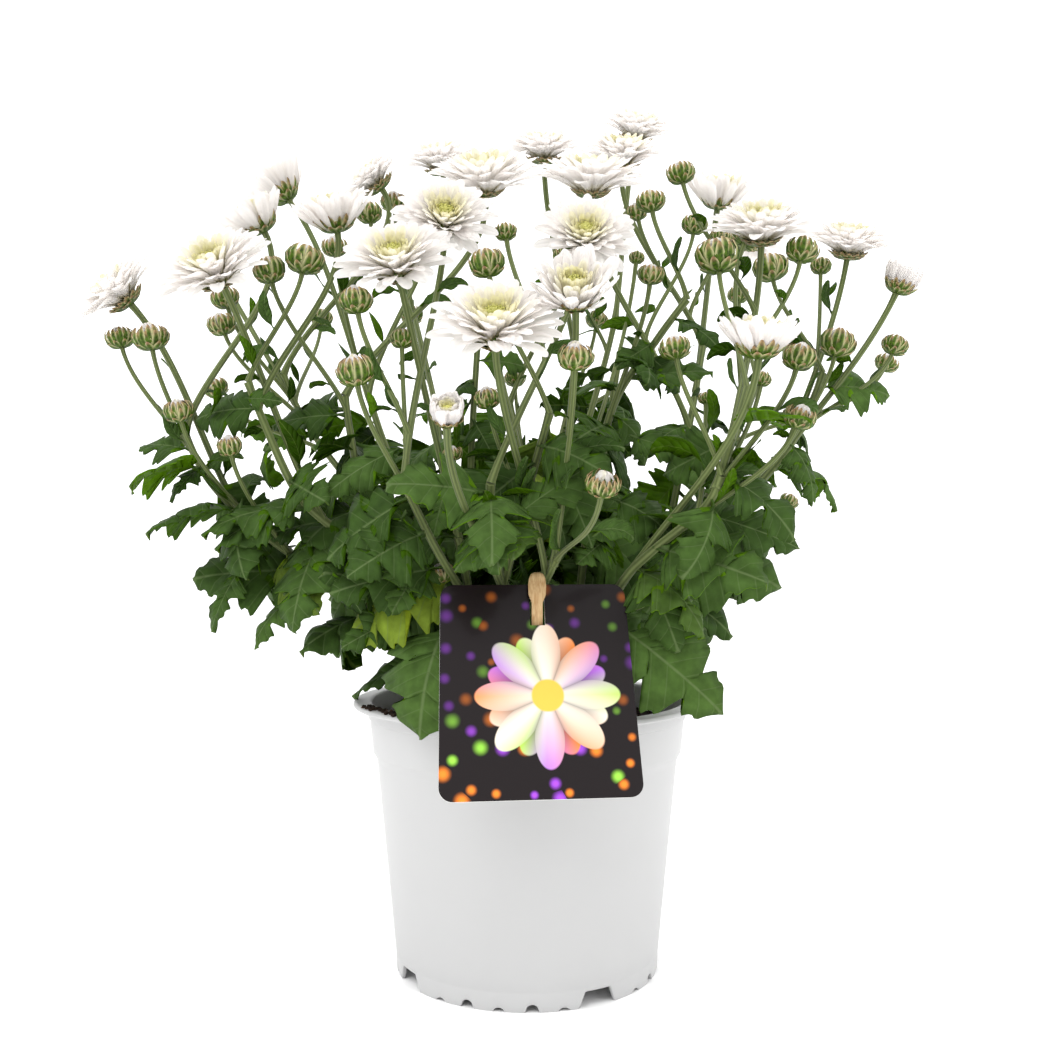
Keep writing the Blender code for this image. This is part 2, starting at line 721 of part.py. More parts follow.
def grow_stem(name, plan, group, material):
    """A leafy stem: trunk, side stems, stalks, cups, buds and leaves in one solid."""
    draw = random.Random(name)
    pieces = make_collection(name + "_pieces")
    foot = at(plan["trunk"][0])
    buried = [Vector((foot.x, foot.y, STEM_FOOT_Z * MM))]
    trunk_route = buried + smooth_route([at(p) for p in plan["trunk"]], len(plan["trunk"]) + 2)
    trunk = tube(name + "_trunk", trunk_route, taper(TRUNK_RADIUS, TRUNK_END_RADIUS, len(trunk_route)), 1, pieces)
    pieces.objects.unlink(trunk)
    group.objects.link(trunk)
    routes = [trunk_route[1:]]
    for i, side in enumerate(plan["sides"]):
        points = [nearest_on(routes, at(side[0]))] + [at(p) for p in side[1:]]
        route = smooth_route(points, len(side) + 1)
        tube(f"{name}_side_{i}", route, taper(SIDE_RADIUS, SIDE_END_RADIUS, len(route)), 0, pieces)
        routes.append(route)
    main_routes = list(routes)
    for head in plan["blooms"]:
        seat, axis = bloom_seat(head), bloom_axis(head)
        start, leaving = join_point(main_routes, seat, BLOOM_STALK_LENGTH)
        route = stalk_route(start, leaving, seat - axis * CUP_DEPTH * MM, axis, 5)
        stalk_with_cup(head + "_stalk", route, seat, axis, pieces)
        routes.append(route)
    for i, (x, y, z, width) in enumerate(plan["buds"]):
        middle = at((x, y, z))
        start, leaving = join_point(routes, middle, BUD_STALK_LENGTH)
        axis = (Vector((0, 0, 1.3)) + (middle - start).normalized()).normalized()
        route = stalk_route(start, leaving, middle - axis * 0.43 * width * MM, axis, 3)
        stalk_with_bud(f"{name}_bud_{i}", route, middle, width, axis, pieces)
    for i, (base, tip, width) in enumerate(plan["big_leaves"]):
        start = nearest_on(routes, at(base))
        grow_leaf(f"{name}_big_leaf_{i}", start, at(tip), width, 0.05, plan["wedge"], draw, pieces)
    fill_leaves(name, main_routes, plan["wedge"], draw, pieces)
    return join_all(name, trunk, pieces, group, material)


def make_bloom(name, group, material):
    bloom = add_object(name, bloom_mesh(name, BLOOMS[name][3]), group, material)
    bloom.location = bloom_seat(name)
    bloom.rotation_euler = turned_to(bloom_axis(name)).to_euler()
    return bloom


def pot_profile():
    """The pot's section from the middle of its floor, over the rim and down to the foot."""
    inner = POT_WALL
    floor_top = POT_FLOOR_HEIGHT + POT_WALL
    return [
        (0, floor_top),
        (POT_BASE_RADIUS + 0.3 - inner, floor_top),
        (POT_SHOULDER_RADIUS - inner, 72),
        (POT_COLLAR_RADIUS - inner, POT_HEIGHT - 1),
        (POT_COLLAR_RADIUS - 0.6, POT_HEIGHT),
        (POT_FLANGE_RADIUS - 0.8, POT_HEIGHT - 0.1),
        (POT_FLANGE_RADIUS, POT_HEIGHT - 1.8),
        (POT_COLLAR_RADIUS, POT_HEIGHT - 1.4),
        (POT_COLLAR_RADIUS, 86.4),
        (54.3, 86),
        (53.2, 74.5),
        (POT_SHOULDER_RADIUS, 72),
        (POT_BASE_RADIUS + 0.3, 6),
        (POT_BASE_RADIUS, 0),
        (POT_BASE_RADIUS - inner, 0),
        (POT_BASE_RADIUS - inner, POT_FLOOR_HEIGHT),
        (0, POT_FLOOR_HEIGHT),
    ]


def foot_notch(name, azimuth, cutters):
    """A wedge-sided block that opens the foot's wall, wider at the ground."""
    top, bottom, height = FOOT_NOTCH_SIZE
    bpy.ops.mesh.primitive_cube_add(size=1)
    block = bpy.context.object
    block.name = name
    for vertex in block.data.vertices:
        width = bottom if vertex.co.z < 0 else top
        vertex.co = Vector((vertex.co.x * width, vertex.co.y * FOOT_CUT_DEPTH, vertex.co.z * height)) * MM
    move_to(block, cutters)
    block.location = ahead(azimuth) * FOOT_MIDDLE_RADIUS * MM
    block.rotation_euler = (0, 0, math.radians(azimuth))


def move_to(thing, group):
    for other in list(thing.users_collection):
        other.objects.unlink(thing)
    group.objects.link(thing)
    hide_cutter(thing)


def round_cutter(name, radius, depth, sides, location, rotation, cutters):
    bpy.ops.mesh.primitive_cylinder_add(vertices=sides, radius=radius * MM, depth=depth * MM)
    cutter = bpy.context.object
    cutter.name = name
    move_to(cutter, cutters)
    cutter.location = location
    cutter.rotation_euler = rotation


def make_pot(group, material, cutters):
    pot = turned("pot", pot_profile(), POT_STEPS, group, material)
    for i, azimuth in enumerate(FOOT_NOTCH_AZIMUTHS):
        foot_notch(f"foot_notch_{i}", azimuth, cutters)
        for k, step in enumerate(FOOT_ARCH_TURNS):
            turn = azimuth + step
            place = ahead(turn) * FOOT_MIDDLE_RADIUS * MM + Vector((0, 0, FOOT_ARCH_HEIGHT * MM))
            round_cutter(f"foot_arch_{i}_{k}", FOOT_ARCH_RADIUS, FOOT_CUT_DEPTH, FOOT_ARCH_SIDES, place,
                         (math.pi / 2, 0, math.radians(turn)), cutters)
    for i in range(DRAIN_HOLES):
        place = ahead(360 * i / DRAIN_HOLES) * DRAIN_RING_RADIUS * MM
        place.z = (POT_FLOOR_HEIGHT + POT_WALL / 2) * MM
        round_cutter(f"drain_hole_{i}", DRAIN_HOLE_RADIUS, 3 * POT_WALL, HOLE_SIDES, place, (0, 0, 0), cutters)
    subtract_all(pot, cutters)
    return pot


def make_soil(group, material, cutters):
    """Peat that fills the pot and heaps up a little in the middle."""
    inner = POT_WALL + GAP + SOIL_CLEARANCE
    floor = POT_FLOOR_HEIGHT + POT_WALL + GAP
    edge = POT_COLLAR_RADIUS - inner - 1.4
    profile = [
        (0, SOIL_TOP + SOIL_MOUND),
        (0.35 * edge, SOIL_TOP + 0.8 * SOIL_MOUND),
        (0.75 * edge, SOIL_TOP + 0.2 * SOIL_MOUND),
        (edge, SOIL_TOP - 1),
        (POT_SHOULDER_RADIUS - inner, 72),
        (POT_BASE_RADIUS + 0.3 - inner, floor),
        (0, floor),
    ]
    soil = turned("soil", profile, SOIL_STEPS, group, material)
    for name, plan in STEMS.items():
        x, y = plan["trunk"][0][:2]
        place = at((x, y, STEM_FOOT_Z - GAP + STEM_HOLE_DEPTH / 2))
        round_cutter(f"{name}_hole", STEM_HOLE_RADIUS, STEM_HOLE_DEPTH, HOLE_SIDES, place, (0, 0, 0), cutters)
    subtract_all(soil, cutters)
    return soil


def card_turn():
    """The card's turn, leaning back and a little to one side."""
    return Matrix.Rotation(math.radians(CARD_YAW), 4, "Z") @ Matrix.Rotation(math.radians(-CARD_LEAN), 4, "X")


def make_card(group, material, cutters):
    """A stiff card, narrower at its top, with round corners and a slot for the pick."""
    corners = ((-CARD_BOTTOM_WIDTH / 2, -CARD_LENGTH / 2), (CARD_BOTTOM_WIDTH / 2, -CARD_LENGTH / 2),
               (CARD_TOP_WIDTH / 2, CARD_LENGTH / 2), (-CARD_TOP_WIDTH / 2, CARD_LENGTH / 2))
    outline = []
    for i, (x, z) in enumerate(corners):
        inward = Vector((-math.copysign(CARD_CORNER, x), -math.copysign(CARD_CORNER, z)))
        for k in range(CARD_CORNER_POINTS):
            angle = math.pi * (1 + i / 2) + math.pi / 2 * k / (CARD_CORNER_POINTS - 1)
            outline.append((x + inward.x + CARD_CORNER * math.cos(angle),
                            z + inward.y + CARD_CORNER * math.sin(angle)))
    curve = bpy.data.curves.new("label_card", "CURVE")
    curve.dimensions = "2D"
    curve.fill_mode = "BOTH"
    curve.extrude = CARD_THICKNESS / 2 * MM
    spline = curve.splines.new("POLY")
    spline.points.add(len(outline) - 1)
    spline.use_cyclic_u = True
    for point, (x, z) in zip(spline.points, outline):
        point.co = (x * MM, z * MM, 0, 1)
    drawn = bpy.data.objects.new("label_card_outline", curve)
    group.objects.link(drawn)
    mesh = baked(drawn)
    bpy.data.objects.remove(drawn)
    mesh.transform(Matrix.Rotation(math.pi / 2, 4, "X"))
    card = add_object("label_card", mesh, group, material)
    card.matrix_world = Matrix.Translation(at(CARD_MIDDLE)) @ card_turn()
    slot = block_cutter("card_slot", (SLOT_SIZE[0], SLOT_DEPTH, SLOT_SIZE[1]), cutters)
    slot.location = at((PICK_X, card_y(PICK_X, SLOT_HEIGHT), SLOT_HEIGHT))
    slot.rotation_euler = card_turn().to_euler()
    subtract(card, slot)
    return card


def card_y(x, height):
    """The depth of the card's middle plane at a place across and a height, in millimetres."""
    normal = card_turn() @ Vector((0, -1, 0))
    return CARD_MIDDLE[1] - (normal.x * (x - CARD_MIDDLE[0]) + normal.z * (height - CARD_MIDDLE[2])) / normal.y


def block_cutter(name, size, cutters):
    """A block of this size in millimetres, with its size in its mesh."""
    bpy.ops.mesh.primitive_cube_add(size=1)
    block = bpy.context.object
    block.name = name
    for vertex in block.data.vertices:
        vertex.co = Vector((vertex.co.x * size[0], vertex.co.y * size[1], vertex.co.z * size[2])) * MM
    move_to(block, cutters)
    return block


def make_pick(group, material):
    """A flat wooden pick: up from the soil behind the card, through its slot and up in front."""
    depth = card_y(PICK_X, SLOT_HEIGHT)
    behind, front = depth + 1.0, depth - 0.6
    sections = [
        (-42.0, 46.0, 0.8), (-42.5, 84.0, 2.6), (behind, 118.5, 2.6), (behind - 0.2, 121.0, 1.7),
        (front, 129.0, 1.7), (front - 0.1, 131.0, 2.8), (front + 1.2, 135.6, 2.8), (front + 1.7, PICK_TOP, 2.0),
    ]
    bm = bmesh.new()
    loops = []
    for depth, height, half_width in sections:
        half = PICK_THICKNESS / 2
        loops.append([bm.verts.new(at((PICK_X + sx * half_width, depth + sy * half, height)))
                      for sx, sy in ((-1, -1), (1, -1), (1, 1), (-1, 1))])
    for low, high in zip(loops, loops[1:]):
        for i in range(4):
            bm.faces.new((low[i], low[(i + 1) % 4], high[(i + 1) % 4], high[i]))
    bm.faces.new(loops[0][::-1])
    bm.faces.new(loops[-1])
    bmesh.ops.triangulate(bm, faces=bm.faces)
    return add_object("label_pick", mesh_from(bm, "label_pick"), group, material)


def make_pick_hole(cutters):
    hole = block_cutter("pick_hole", PICK_HOLE_SIZE, cutters)
    depth, foot = PICK_HOLE_FOOT
    hole.location = at((PICK_X, depth, foot + PICK_HOLE_SIZE[2] / 2))


def main():
    clear_scene()
    group = make_collection("pot_chrysanthemum")
    pot_cutters = make_collection("pot_cutters")
    soil_cutters = make_collection("soil_cutters")
    card_cutters = make_collection("card_cutters")
    materials = {name: make_material(name) for name in COLOURS}
    base = bpy.data.objects.new("pot_chrysanthemum_base", None)
    group.objects.link(base)
    parts = [make_pot(group, materials["pot"], pot_cutters)]
    make_pick_hole(soil_cutters)
    parts.append(make_soil(group, materials["soil"], soil_cutters))
    parts.append(make_card(group, materials["card"], card_cutters))
    parts.append(make_pick(group, materials["pick"]))
    for name, plan in STEMS.items():
        parts.append(grow_stem(name, plan, group, materials["stem"]))
    for name in BLOOMS:
        parts.append(make_bloom(name, group, materials["bloom"]))
    for part in parts:
        part.parent = base


main()
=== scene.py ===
import math
import random

import bmesh
import bpy
from bpy.props import FloatProperty, FloatVectorProperty, IntProperty, PointerProperty
from mathutils import Matrix, Vector


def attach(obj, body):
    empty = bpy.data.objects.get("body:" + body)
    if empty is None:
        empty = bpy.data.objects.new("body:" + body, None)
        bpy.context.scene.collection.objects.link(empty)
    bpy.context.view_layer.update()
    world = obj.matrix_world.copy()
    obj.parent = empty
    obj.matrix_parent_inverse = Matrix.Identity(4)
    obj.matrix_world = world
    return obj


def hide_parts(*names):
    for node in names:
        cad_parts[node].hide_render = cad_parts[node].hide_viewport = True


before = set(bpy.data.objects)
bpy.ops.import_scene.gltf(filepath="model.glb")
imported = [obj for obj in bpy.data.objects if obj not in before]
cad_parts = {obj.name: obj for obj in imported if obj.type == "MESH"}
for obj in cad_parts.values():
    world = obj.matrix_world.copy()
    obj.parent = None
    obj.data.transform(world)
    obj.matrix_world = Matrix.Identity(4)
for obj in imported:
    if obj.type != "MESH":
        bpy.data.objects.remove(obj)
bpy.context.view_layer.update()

bl_info = {
    "name": "Pot Chrysanthemum",
    "version": (1, 0, 0),
    "blender": (4, 5, 0),
    "location": "View3D > Sidebar > Chrysanthemum",
    "description": "Builds a white pot chrysanthemum with its pot, peat, leafy stems, blooms and card",
    "category": "Add Mesh",
}

# The frame: +Z is up, -Y is the front and the origin is the middle of the pot's foot on the ground.
# Tables are in millimetres and degrees. An azimuth is 0 at the front and grows towards +X.
MM = 0.001

# Each bloom: x, y, z of its middle, its width, its lean from upright and the azimuth it leans to.
BLOOMS = {
    "bloom_01": (-138, -20, 232, 32, 45, -62),
    "bloom_02": (-99, -45, 235, 39, 42, -25),
    "bloom_03": (-99, 10, 266, 27, 32, -60),
    "bloom_04": (-99, 50, 287, 27, 38, -90),
    "bloom_05": (-65, -20, 260, 28, 18, -30),
    "bloom_06": (-61, 45, 288, 26, 42, -70),
    "bloom_07": (-40, -60, 234, 37, 42, -10),
    "bloom_08": (-26, -37, 252, 34, 55, 5),
    "bloom_09": (-15, -3, 276, 42, 25, -10),
    "bloom_10": (-9, -90, 210, 39, 38, 0),
    "bloom_11": (13, -85, 221, 25, 48, -5),
    "bloom_12": (18, -50, 243, 32, 55, 0),
    "bloom_13": (23, 5, 278, 42, 18, 10),
    "bloom_14": (37, 40, 297, 35, 22, 10),
    "bloom_15": (46, 75, 318, 32, 22, 25),
    "bloom_16": (7, 60, 305, 32, 18, 0),
    "bloom_17": (-34, 55, 299, 32, 18, -20),
    "bloom_18": (75, 45, 285, 29, 20, 15),
    "bloom_19": (76, -30, 252, 36, 26, -8),
    "bloom_20": (117, 15, 257, 33, 20, 12),
    "bloom_21": (135, 10, 242, 19, 24, 70),
    "bloom_22": (65, -85, 208, 24, 12, 10),
    "bloom_23": (-21, -105, 183, 14, 42, 5),
    "bloom_24": (-15, 98, 244, 36, 38, 185),
    "bloom_25": (-129, 70, 261, 34, 36, 240),
    "bloom_26": (-57, 97, 272, 36, 34, 210),
    "bloom_27": (25, 99, 283, 34, 30, 170),
    "bloom_28": (94, 84, 276, 34, 34, 132),
}
HALF_OPEN = ("bloom_03", "bloom_04", "bloom_05", "bloom_11", "bloom_18", "bloom_21", "bloom_22", "bloom_23")

# Each leafy stem keeps to its own wedge of azimuths. Routes run from the soil or a lower route outwards.
# Buds are x, y, z and width. Big leaves are base, tip and width, where the photograph shows them.
STEMS = {
    "stem_front": {
        "wedge": (-20, 30),
        "trunk": [(0, -20, 88), (-4, -30, 115), (-8, -41, 133), (-11, -58, 152), (-10, -76, 178)],
        "sides": [
            [(-4, -30, 115), (4, -41, 131), (10, -58, 144)],
            [(-8, -41, 133), (0, -52, 162), (8, -64, 190)],
        ],
        "blooms": ("bloom_10", "bloom_11", "bloom_12", "bloom_23"),
        "buds": [(13, -92, 198, 10), (20, -100, 163, 9), (-12, -62, 230, 10), (-7, -30, 247, 7),
                 (-12, -60, 190, 8)],
        "big_leaves": [((-6, -56, 150), (24, -60, 174), 16), ((-10, -60, 156), (-12, -82, 146), 13)],
    },
    "stem_front_left": {
        "wedge": (-60, -20),
        "trunk": [(-11, -13, 88), (-16, -27, 115), (-22, -42, 150), (-28, -52, 180), (-33, -55, 202)],
        "sides": [[(-18, -32, 126), (-28, -52, 145), (-38, -68, 168)]],
        "blooms": ("bloom_07", "bloom_08"),
        "buds": [(-48, -85, 195, 10), (-51, -62, 219, 10), (-39, -45, 210, 7), (-27, -42, 137, 8)],
        "big_leaves": [((-17, -30, 118), (-42, -76, 90), 22), ((-16, -26, 112), (-58, -45, 110), 20)],
    },
    "stem_left": {
        "wedge": (-100, -60),
        "trunk": [(-18, -3, 88), (-28, -11, 115), (-45, -21, 135), (-62, -27, 150), (-74, -31, 162),
                  (-84, -34, 184), (-92, -37, 206)],
        "sides": [
            [(-30, -12, 118), (-48, -13, 127), (-66, -15, 134), (-88, -18, 149), (-105, -20, 166),
             (-114, -21, 184), (-121, -21, 202)],
            [(-45, -21, 135), (-54, -22, 160), (-59, -21, 185), (-62, -20, 208)],
            [(-20, -5, 98), (-20, -6, 140), (-19, -6, 180), (-17, -5, 215)],
        ],
        "blooms": ("bloom_01", "bloom_02", "bloom_03", "bloom_05", "bloom_09"),
        "buds": [(-137, -15, 215, 9), (-122, -30, 213, 11), (-110, -40, 188, 9), (-94, -40, 177, 8),
                 (-84, -28, 235, 10), (-72, -30, 238, 12), (-55, 0, 261, 9)],
        "big_leaves": [((-118, -20, 195), (-144, -22, 194), 11), ((-98, -20, 158), (-96, -42, 134), 24),
                       ((-74, -16, 138), (-106, -22, 117), 14), ((-62, -27, 150), (-72, -36, 120), 24),
                       ((-66, -15, 134), (-94, -28, 116), 13), ((-104, -20, 166), (-127, 6, 161), 13)],
    },
    "stem_back_left": {
        "wedge": (-155, -100),
        "trunk": [(-14, 11, 88), (-24, 20, 118), (-40, 30, 150), (-54, 40, 182), (-62, 44, 205)],
        "sides": [
            [(-30, 24, 130), (-60, 36, 160), (-84, 42, 190), (-96, 46, 215)],
            [(-24, 20, 118), (-30, 34, 150), (-34, 48, 185), (-38, 62, 215)],
        ],
        "blooms": ("bloom_04", "bloom_06", "bloom_17", "bloom_25", "bloom_26"),
        "buds": [(-114, 30, 227, 10), (-114, 35, 238, 10), (-53, 60, 281, 10), (-71, 25, 255, 9),
                 (-85, 80, 238, 9), (-120, 45, 205, 9), (-48, 84, 240, 9)],
        "big_leaves": [((-60, 36, 160), (-100, 44, 145), 24), ((-30, 28, 140), (-50, 72, 128), 24)],
    },
    "stem_back": {
        "wedge": (-215, -155),
        "trunk": [(2, 17, 88), (4, 28, 120), (7, 42, 155), (10, 54, 190), (12, 62, 220)],
        "sides": [
            [(6, 36, 140), (20, 50, 180), (32, 62, 220), (40, 70, 255)],
            [(5, 34, 135), (2, 60, 160), (-4, 82, 190), (-9, 96, 212)],
            [(8, 46, 165), (16, 74, 195), (22, 94, 225)],
        ],
        "blooms": ("bloom_15", "bloom_16", "bloom_24", "bloom_27"),
        "buds": [(-5, 95, 215, 9), (30, 96, 240, 9), (50, 90, 225, 9), (15, 70, 262, 8)],
        "big_leaves": [((4, 52, 152), (-6, 92, 138), 24), ((5, 34, 130), (26, 74, 108), 26)],
    },
    "stem_right": {
        "wedge": (85, 145),
        "trunk": [(16, 7, 88), (26, 8, 112), (46, 8, 132), (70, 7, 154), (92, 9, 178), (102, 11, 196),
                  (110, 13, 218)],
        "sides": [
            [(18, 8, 98), (22, 10, 140), (28, 14, 180), (34, 20, 215)],
            [(46, 8, 132), (54, 14, 165), (62, 24, 200), (68, 34, 230)],
            [(32, 9, 118), (60, 30, 150), (84, 55, 190), (98, 75, 220)],
        ],
        "blooms": ("bloom_13", "bloom_14", "bloom_18", "bloom_20", "bloom_21", "bloom_28"),
        "buds": [(62, 25, 263, 9), (88, 15, 245, 12), (74, 40, 262, 8), (109, 3, 216, 12),
                 (133, 15, 217, 9), (111, 35, 250, 8), (41, 30, 269, 8),
                 (90, 92, 250, 9), (142, 55, 216, 9)],
        "big_leaves": [((92, 9, 178), (124, 10, 148), 7), ((108, 12, 210), (137, 8, 211), 9),
                       ((86, 8, 172), (108, 1, 162), 15), ((60, 30, 150), (96, 46, 134), 22)],
    },
    "stem_front_right": {
        "wedge": (30, 85),
        "trunk": [(13, -9, 88), (20, -20, 112), (30, -41, 134), (38, -53, 144), (52, -66, 157),
                  (57, -70, 168), (62, -75, 182)],
        "sides": [
            [(15, -12, 98), (20, -18, 150), (28, -22, 190), (42, -28, 212), (54, -32, 228)],
            [(55, -68, 163), (65, -58, 190), (74, -45, 214)],
        ],
        "blooms": ("bloom_19", "bloom_22"),
        "buds": [(39, -40, 231, 8), (40, -30, 257, 9), (51, -20, 269, 9), (60, -40, 237, 13),
                 (44, -60, 205, 9), (89, -30, 241, 10), (79, -70, 201, 10), (78, -75, 183, 9)],
        "big_leaves": [((54, -67, 158), (86, -55, 143), 16), ((38, -53, 145), (76, -62, 134), 24),
                       ((36, -50, 142), (42, -64, 116), 16), ((22, -24, 115), (60, -66, 96), 23)],
    },
}
# Buds too small for the solids, on the front stems.
SMALL_BUDS = {
    "stem_front": [(-23, -50, 174, 6), (41, 30, 252, 6)],
    "stem_front_right": [(55, -50, 191, 5), (87, -20, 160, 6), (72, -50, 197, 6)],
}
# Leaves that hang towards the front: base, tip, width and kind. They turn their faces to the front.
FRONT_LEAVES = {
    "stem_left": [
        ((-90, -38, 192), (-77, -42, 191), 8, 4), ((-104, -30, 186), (-90, -34, 195), 5, 7),
        ((-107, -20, 172), (-117, -28, 160), 11, 4), ((-99, -20, 175), (-110, -24, 167), 7, 4),
        ((-93, -26, 160), (-92, -42, 136), 25, 2), ((-94, -22, 138), (-102, -34, 118), 15, 4),
        ((-66, -26, 149), (-75, -46, 120), 26, 0), ((-76, -22, 128), (-93, -34, 116), 12, 5),
        ((-46, -30, 159), (-62, -34, 163), 10, 4),
    ],
    "stem_front_left": [
        ((-40, -42, 176), (-64, -50, 162), 14, 2), ((-38, -40, 156), (-48, -54, 137), 16, 1),
        ((-25, -46, 121), (-35, -61, 89), 36, 2), ((-38, -34, 124), (-58, -46, 113), 13, 3),
        ((-31, -40, 142), (-41, -54, 124), 17, 3), ((-23, -42, 170), (-29, -54, 149), 15, 0),
    ],
    "stem_front": [
        ((-4, -66, 154), (24, -62, 174), 13, 2), ((-4, -62, 157), (-19, -68, 147), 12, 1),
        ((10, -40, 170), (20, -54, 146), 18, 2), ((-6, -52, 160), (-14, -58, 141), 15, 0),
    ],
    "stem_front_right": [
        ((32, -40, 180), (55, -46, 170), 13, 3), ((26, -44, 160), (48, -54, 151), 20, 1),
        ((54, -60, 155), (85, -56, 145), 14, 2), ((40, -46, 146), (78, -58, 135), 29, 2),
        ((35, -42, 141), (46, -58, 114), 21, 4), ((29, -46, 120), (60, -60, 96), 28, 2),
        ((26, -40, 148), (16, -50, 141), 15, 0),
    ],
    "stem_right": [((89, -8, 180), (101, -20, 162), 16, 1)],
}

# Stalks: lengths, slope, and the least rise and the lowest height of their forks.
BLOOM_STALK_LENGTH = 82
BUD_STALK_LENGTH = 46
STALK_SLOPE = 66
LEAST_RISE = 12
LOWEST_FORK = 108
# Radii of stems and stalks at their lower and upper ends.
TRUNK_RADII = (1.75, 1.15)
SIDE_RADII = (1.3, 1.05)
BLOOM_STALK_RADII = (1.03, 0.95)
BUD_STALK_RADII = (0.78, 0.66)
# The green cup under a bloom.
SEAT_RADIUS = 6.2
CUP_DEPTH = 6.4
# The middle of a bloom stands so far above its seat, as a share of its radius.
OPEN_CENTRE = 0.30
HALF_OPEN_CENTRE = 0.50
# A solid leaf's outline, as shares of its length and half width, and the places along its midrib.
LEAF_OUTLINE = ((0.24, 0.09), (0.38, 0.60), (0.46, 0.36), (0.64, 1.0), (0.70, 0.52), (0.86, 0.56))
LEAF_MIDRIB = (0.24, 0.60)
LEAF_THICKNESS = 1.3
LEAF_SPACING = 27
LEAF_WIDTH_SHARE = 0.62
WEDGE_MARGIN = 0.5
# Heights that leaves stay above, over the pot's rim and over the soil.
CLEAR_OF_RIM = 94.0
CLEAR_OF_SOIL = 90.0
POT_FLANGE_RADIUS = 60.0
# The space that leaves keep free round the card: half its width, its front, its back and its top.
CARD_SPACE = (33, -76, -43.5, 139.5)
GOLDEN_ANGLE = math.pi * (3 - math.sqrt(5))
GOLDEN_DEGREES = 137.5
# Shares of light that thin petals and leaves let through.
PETAL_GLOW = 0.68
LEAF_GLOW = 0.25


# Colour and node helpers


def linear(code, alpha=1.0):
    """The linear colour of an sRGB hex code."""
    parts = [int(code[i:i + 2], 16) / 255 for i in (1, 3, 5)]
    return tuple(p / 12.92 if p <= 0.04045 else ((p + 0.055) / 1.055) ** 2.4 for p in parts) + (alpha,)


def plug(tree, node, inputs):
    """Sets or links a node's inputs. A node stands for its first output, and a hex code for its colour."""
    for key, value in inputs.items():
        socket = node.inputs[key] if isinstance(key, int) else next(
            s for s in node.inputs if s.enabled and s.name == key)
        if isinstance(value, bpy.types.Node):
            value = next(s for s in value.outputs if s.enabled)
        if isinstance(value, bpy.types.NodeSocket):
            tree.links.new(value, socket)
        else:
            socket.default_value = linear(value) if str(value)[0] == "#" else value


def add(tree, kind, inputs=None, stops=None, **settings):
    """A node with its settings, a ramp's stops, and its inputs set or linked."""
    node = tree.nodes.new(kind)
    for name, value in settings.items():
        setattr(node, name, value)
    for i, (place, colour) in enumerate(stops or ()):
        elements = node.color_ramp.elements
        element = elements[i] if i < 2 else elements.new(place)
        element.position = place
        element.color = linear(colour) if colour[0] == "#" else colour
    plug(tree, node, inputs or {})
    return node


def work_out(tree, values, steps):
    """Adds a Math node for each step: its result's name, its operation and its operands."""
    for name, operation, *operands in steps:
        inputs = {i: values.get(item, item) for i, item in enumerate(operands)}
        values[name] = add(tree, "ShaderNodeMath", inputs, operation=operation)
    return values


def new_material(name, *attributes, **sockets):
    """A material with its shader's own sockets set. Gives it with its tree, shader and named attributes."""
    material = bpy.data.materials.new(name)
    material.use_nodes = True
    tree = material.node_tree
    shader = tree.nodes["Principled BSDF"]
    plug(tree, shader, {key.replace("_", " "): value for key, value in sockets.items()})
    values = {key: add(tree, "ShaderNodeAttribute", attribute_name=key) for key in attributes}
    return material, tree, shader, values


def let_light_through(tree, shader, colour, share):
    """Mixes a share of light from behind into a thin, living surface."""
    behind = add(tree, "ShaderNodeBsdfTranslucent", {"Color": colour})
    both = add(tree, "ShaderNodeMixShader", {0: share, 1: shader, 2: behind})
    plug(tree, tree.nodes["Material Output"], {"Surface": both})


def mottle(tree, detail, *cells):
    """Noise of so many cells to the metre along X, Y and Z, or along all three."""
    place = add(tree, "ShaderNodeTexCoord").outputs["Object"]
    cells = cells if len(cells) == 3 else cells * 3
    vector = add(tree, "ShaderNodeMapping", {"Vector": place, "Scale": cells})
    return add(tree, "ShaderNodeTexNoise", {"Vector": vector, "Scale": 1.0, "Detail": detail})


def dress(tree, shader, colour, strength, depth, height):
    """Gives a shader its colour and a fine relief, with its strength and its depth in metres."""
    plug(tree, shader, {"Base Color": colour, "Normal": add(tree, "ShaderNodeBump", {
        "Strength": strength, "Distance": depth, "Height": height})})


# Materials


# Finishes that only vary softly: name, roughness, specular level, noise detail and cells to the metre, the
# colours by the noise, and the strength and depth in metres of the relief.
MOTTLED_FINISHES = {
    # Peat: milled dark moss with pale fibres in lumps of 2 mm, moist and without shine.
    "peat": ("milled_peat", 0.95, 0.2, 5.0, (500,), ((0.35, "#17100c"), (0.80, "#6b5138"), (0.60, "#33241a")),
             (0.8, 0.0008)),
    # Pick: planed birch, unvarnished, with grain 0.6 mm wide and 11 mm long.
    "wood": ("planed_birch", 0.62, 0.3, 4.0, (1800, 1800, 90), ((0.30, "#a88153"), (0.72, "#cdb185")),
             (0.3, 0.0002)),
    # Card board: white coated board with flecks of 0.8 mm, seen at the cut edge and on the back.
    "board": ("white_board", 0.6, 0.4, 2.0, (1200,), ((0.3, "#e9e8e4"), (0.7, "#f6f5f1")), (0.0, 0.0001)),
    # Floor: matt painted sweep, nearly white, so that the shadow under the pot stays soft. Its clouds are
    # 170 mm wide.
    "floor": ("matt_sweep_paint", 0.9, 0.1, 2.0, (6,), ((0.3, "#fbfbfb"), (0.7, "#fdfdfd")), (0.0, 0.0001)),
}


def mottled_finish(key):
    """A finish of the table above."""
    name, roughness, specular, detail, cells, stops, bumps = MOTTLED_FINISHES[key]
    finish, tree, shader, _ = new_material(name, Roughness=roughness, Specular_IOR_Level=specular)
    noise = mottle(tree, detail, *cells)
    dress(tree, shader, add(tree, "ShaderNodeValToRGB", {"Fac": noise}, stops=stops), *bumps, noise)
    return finish


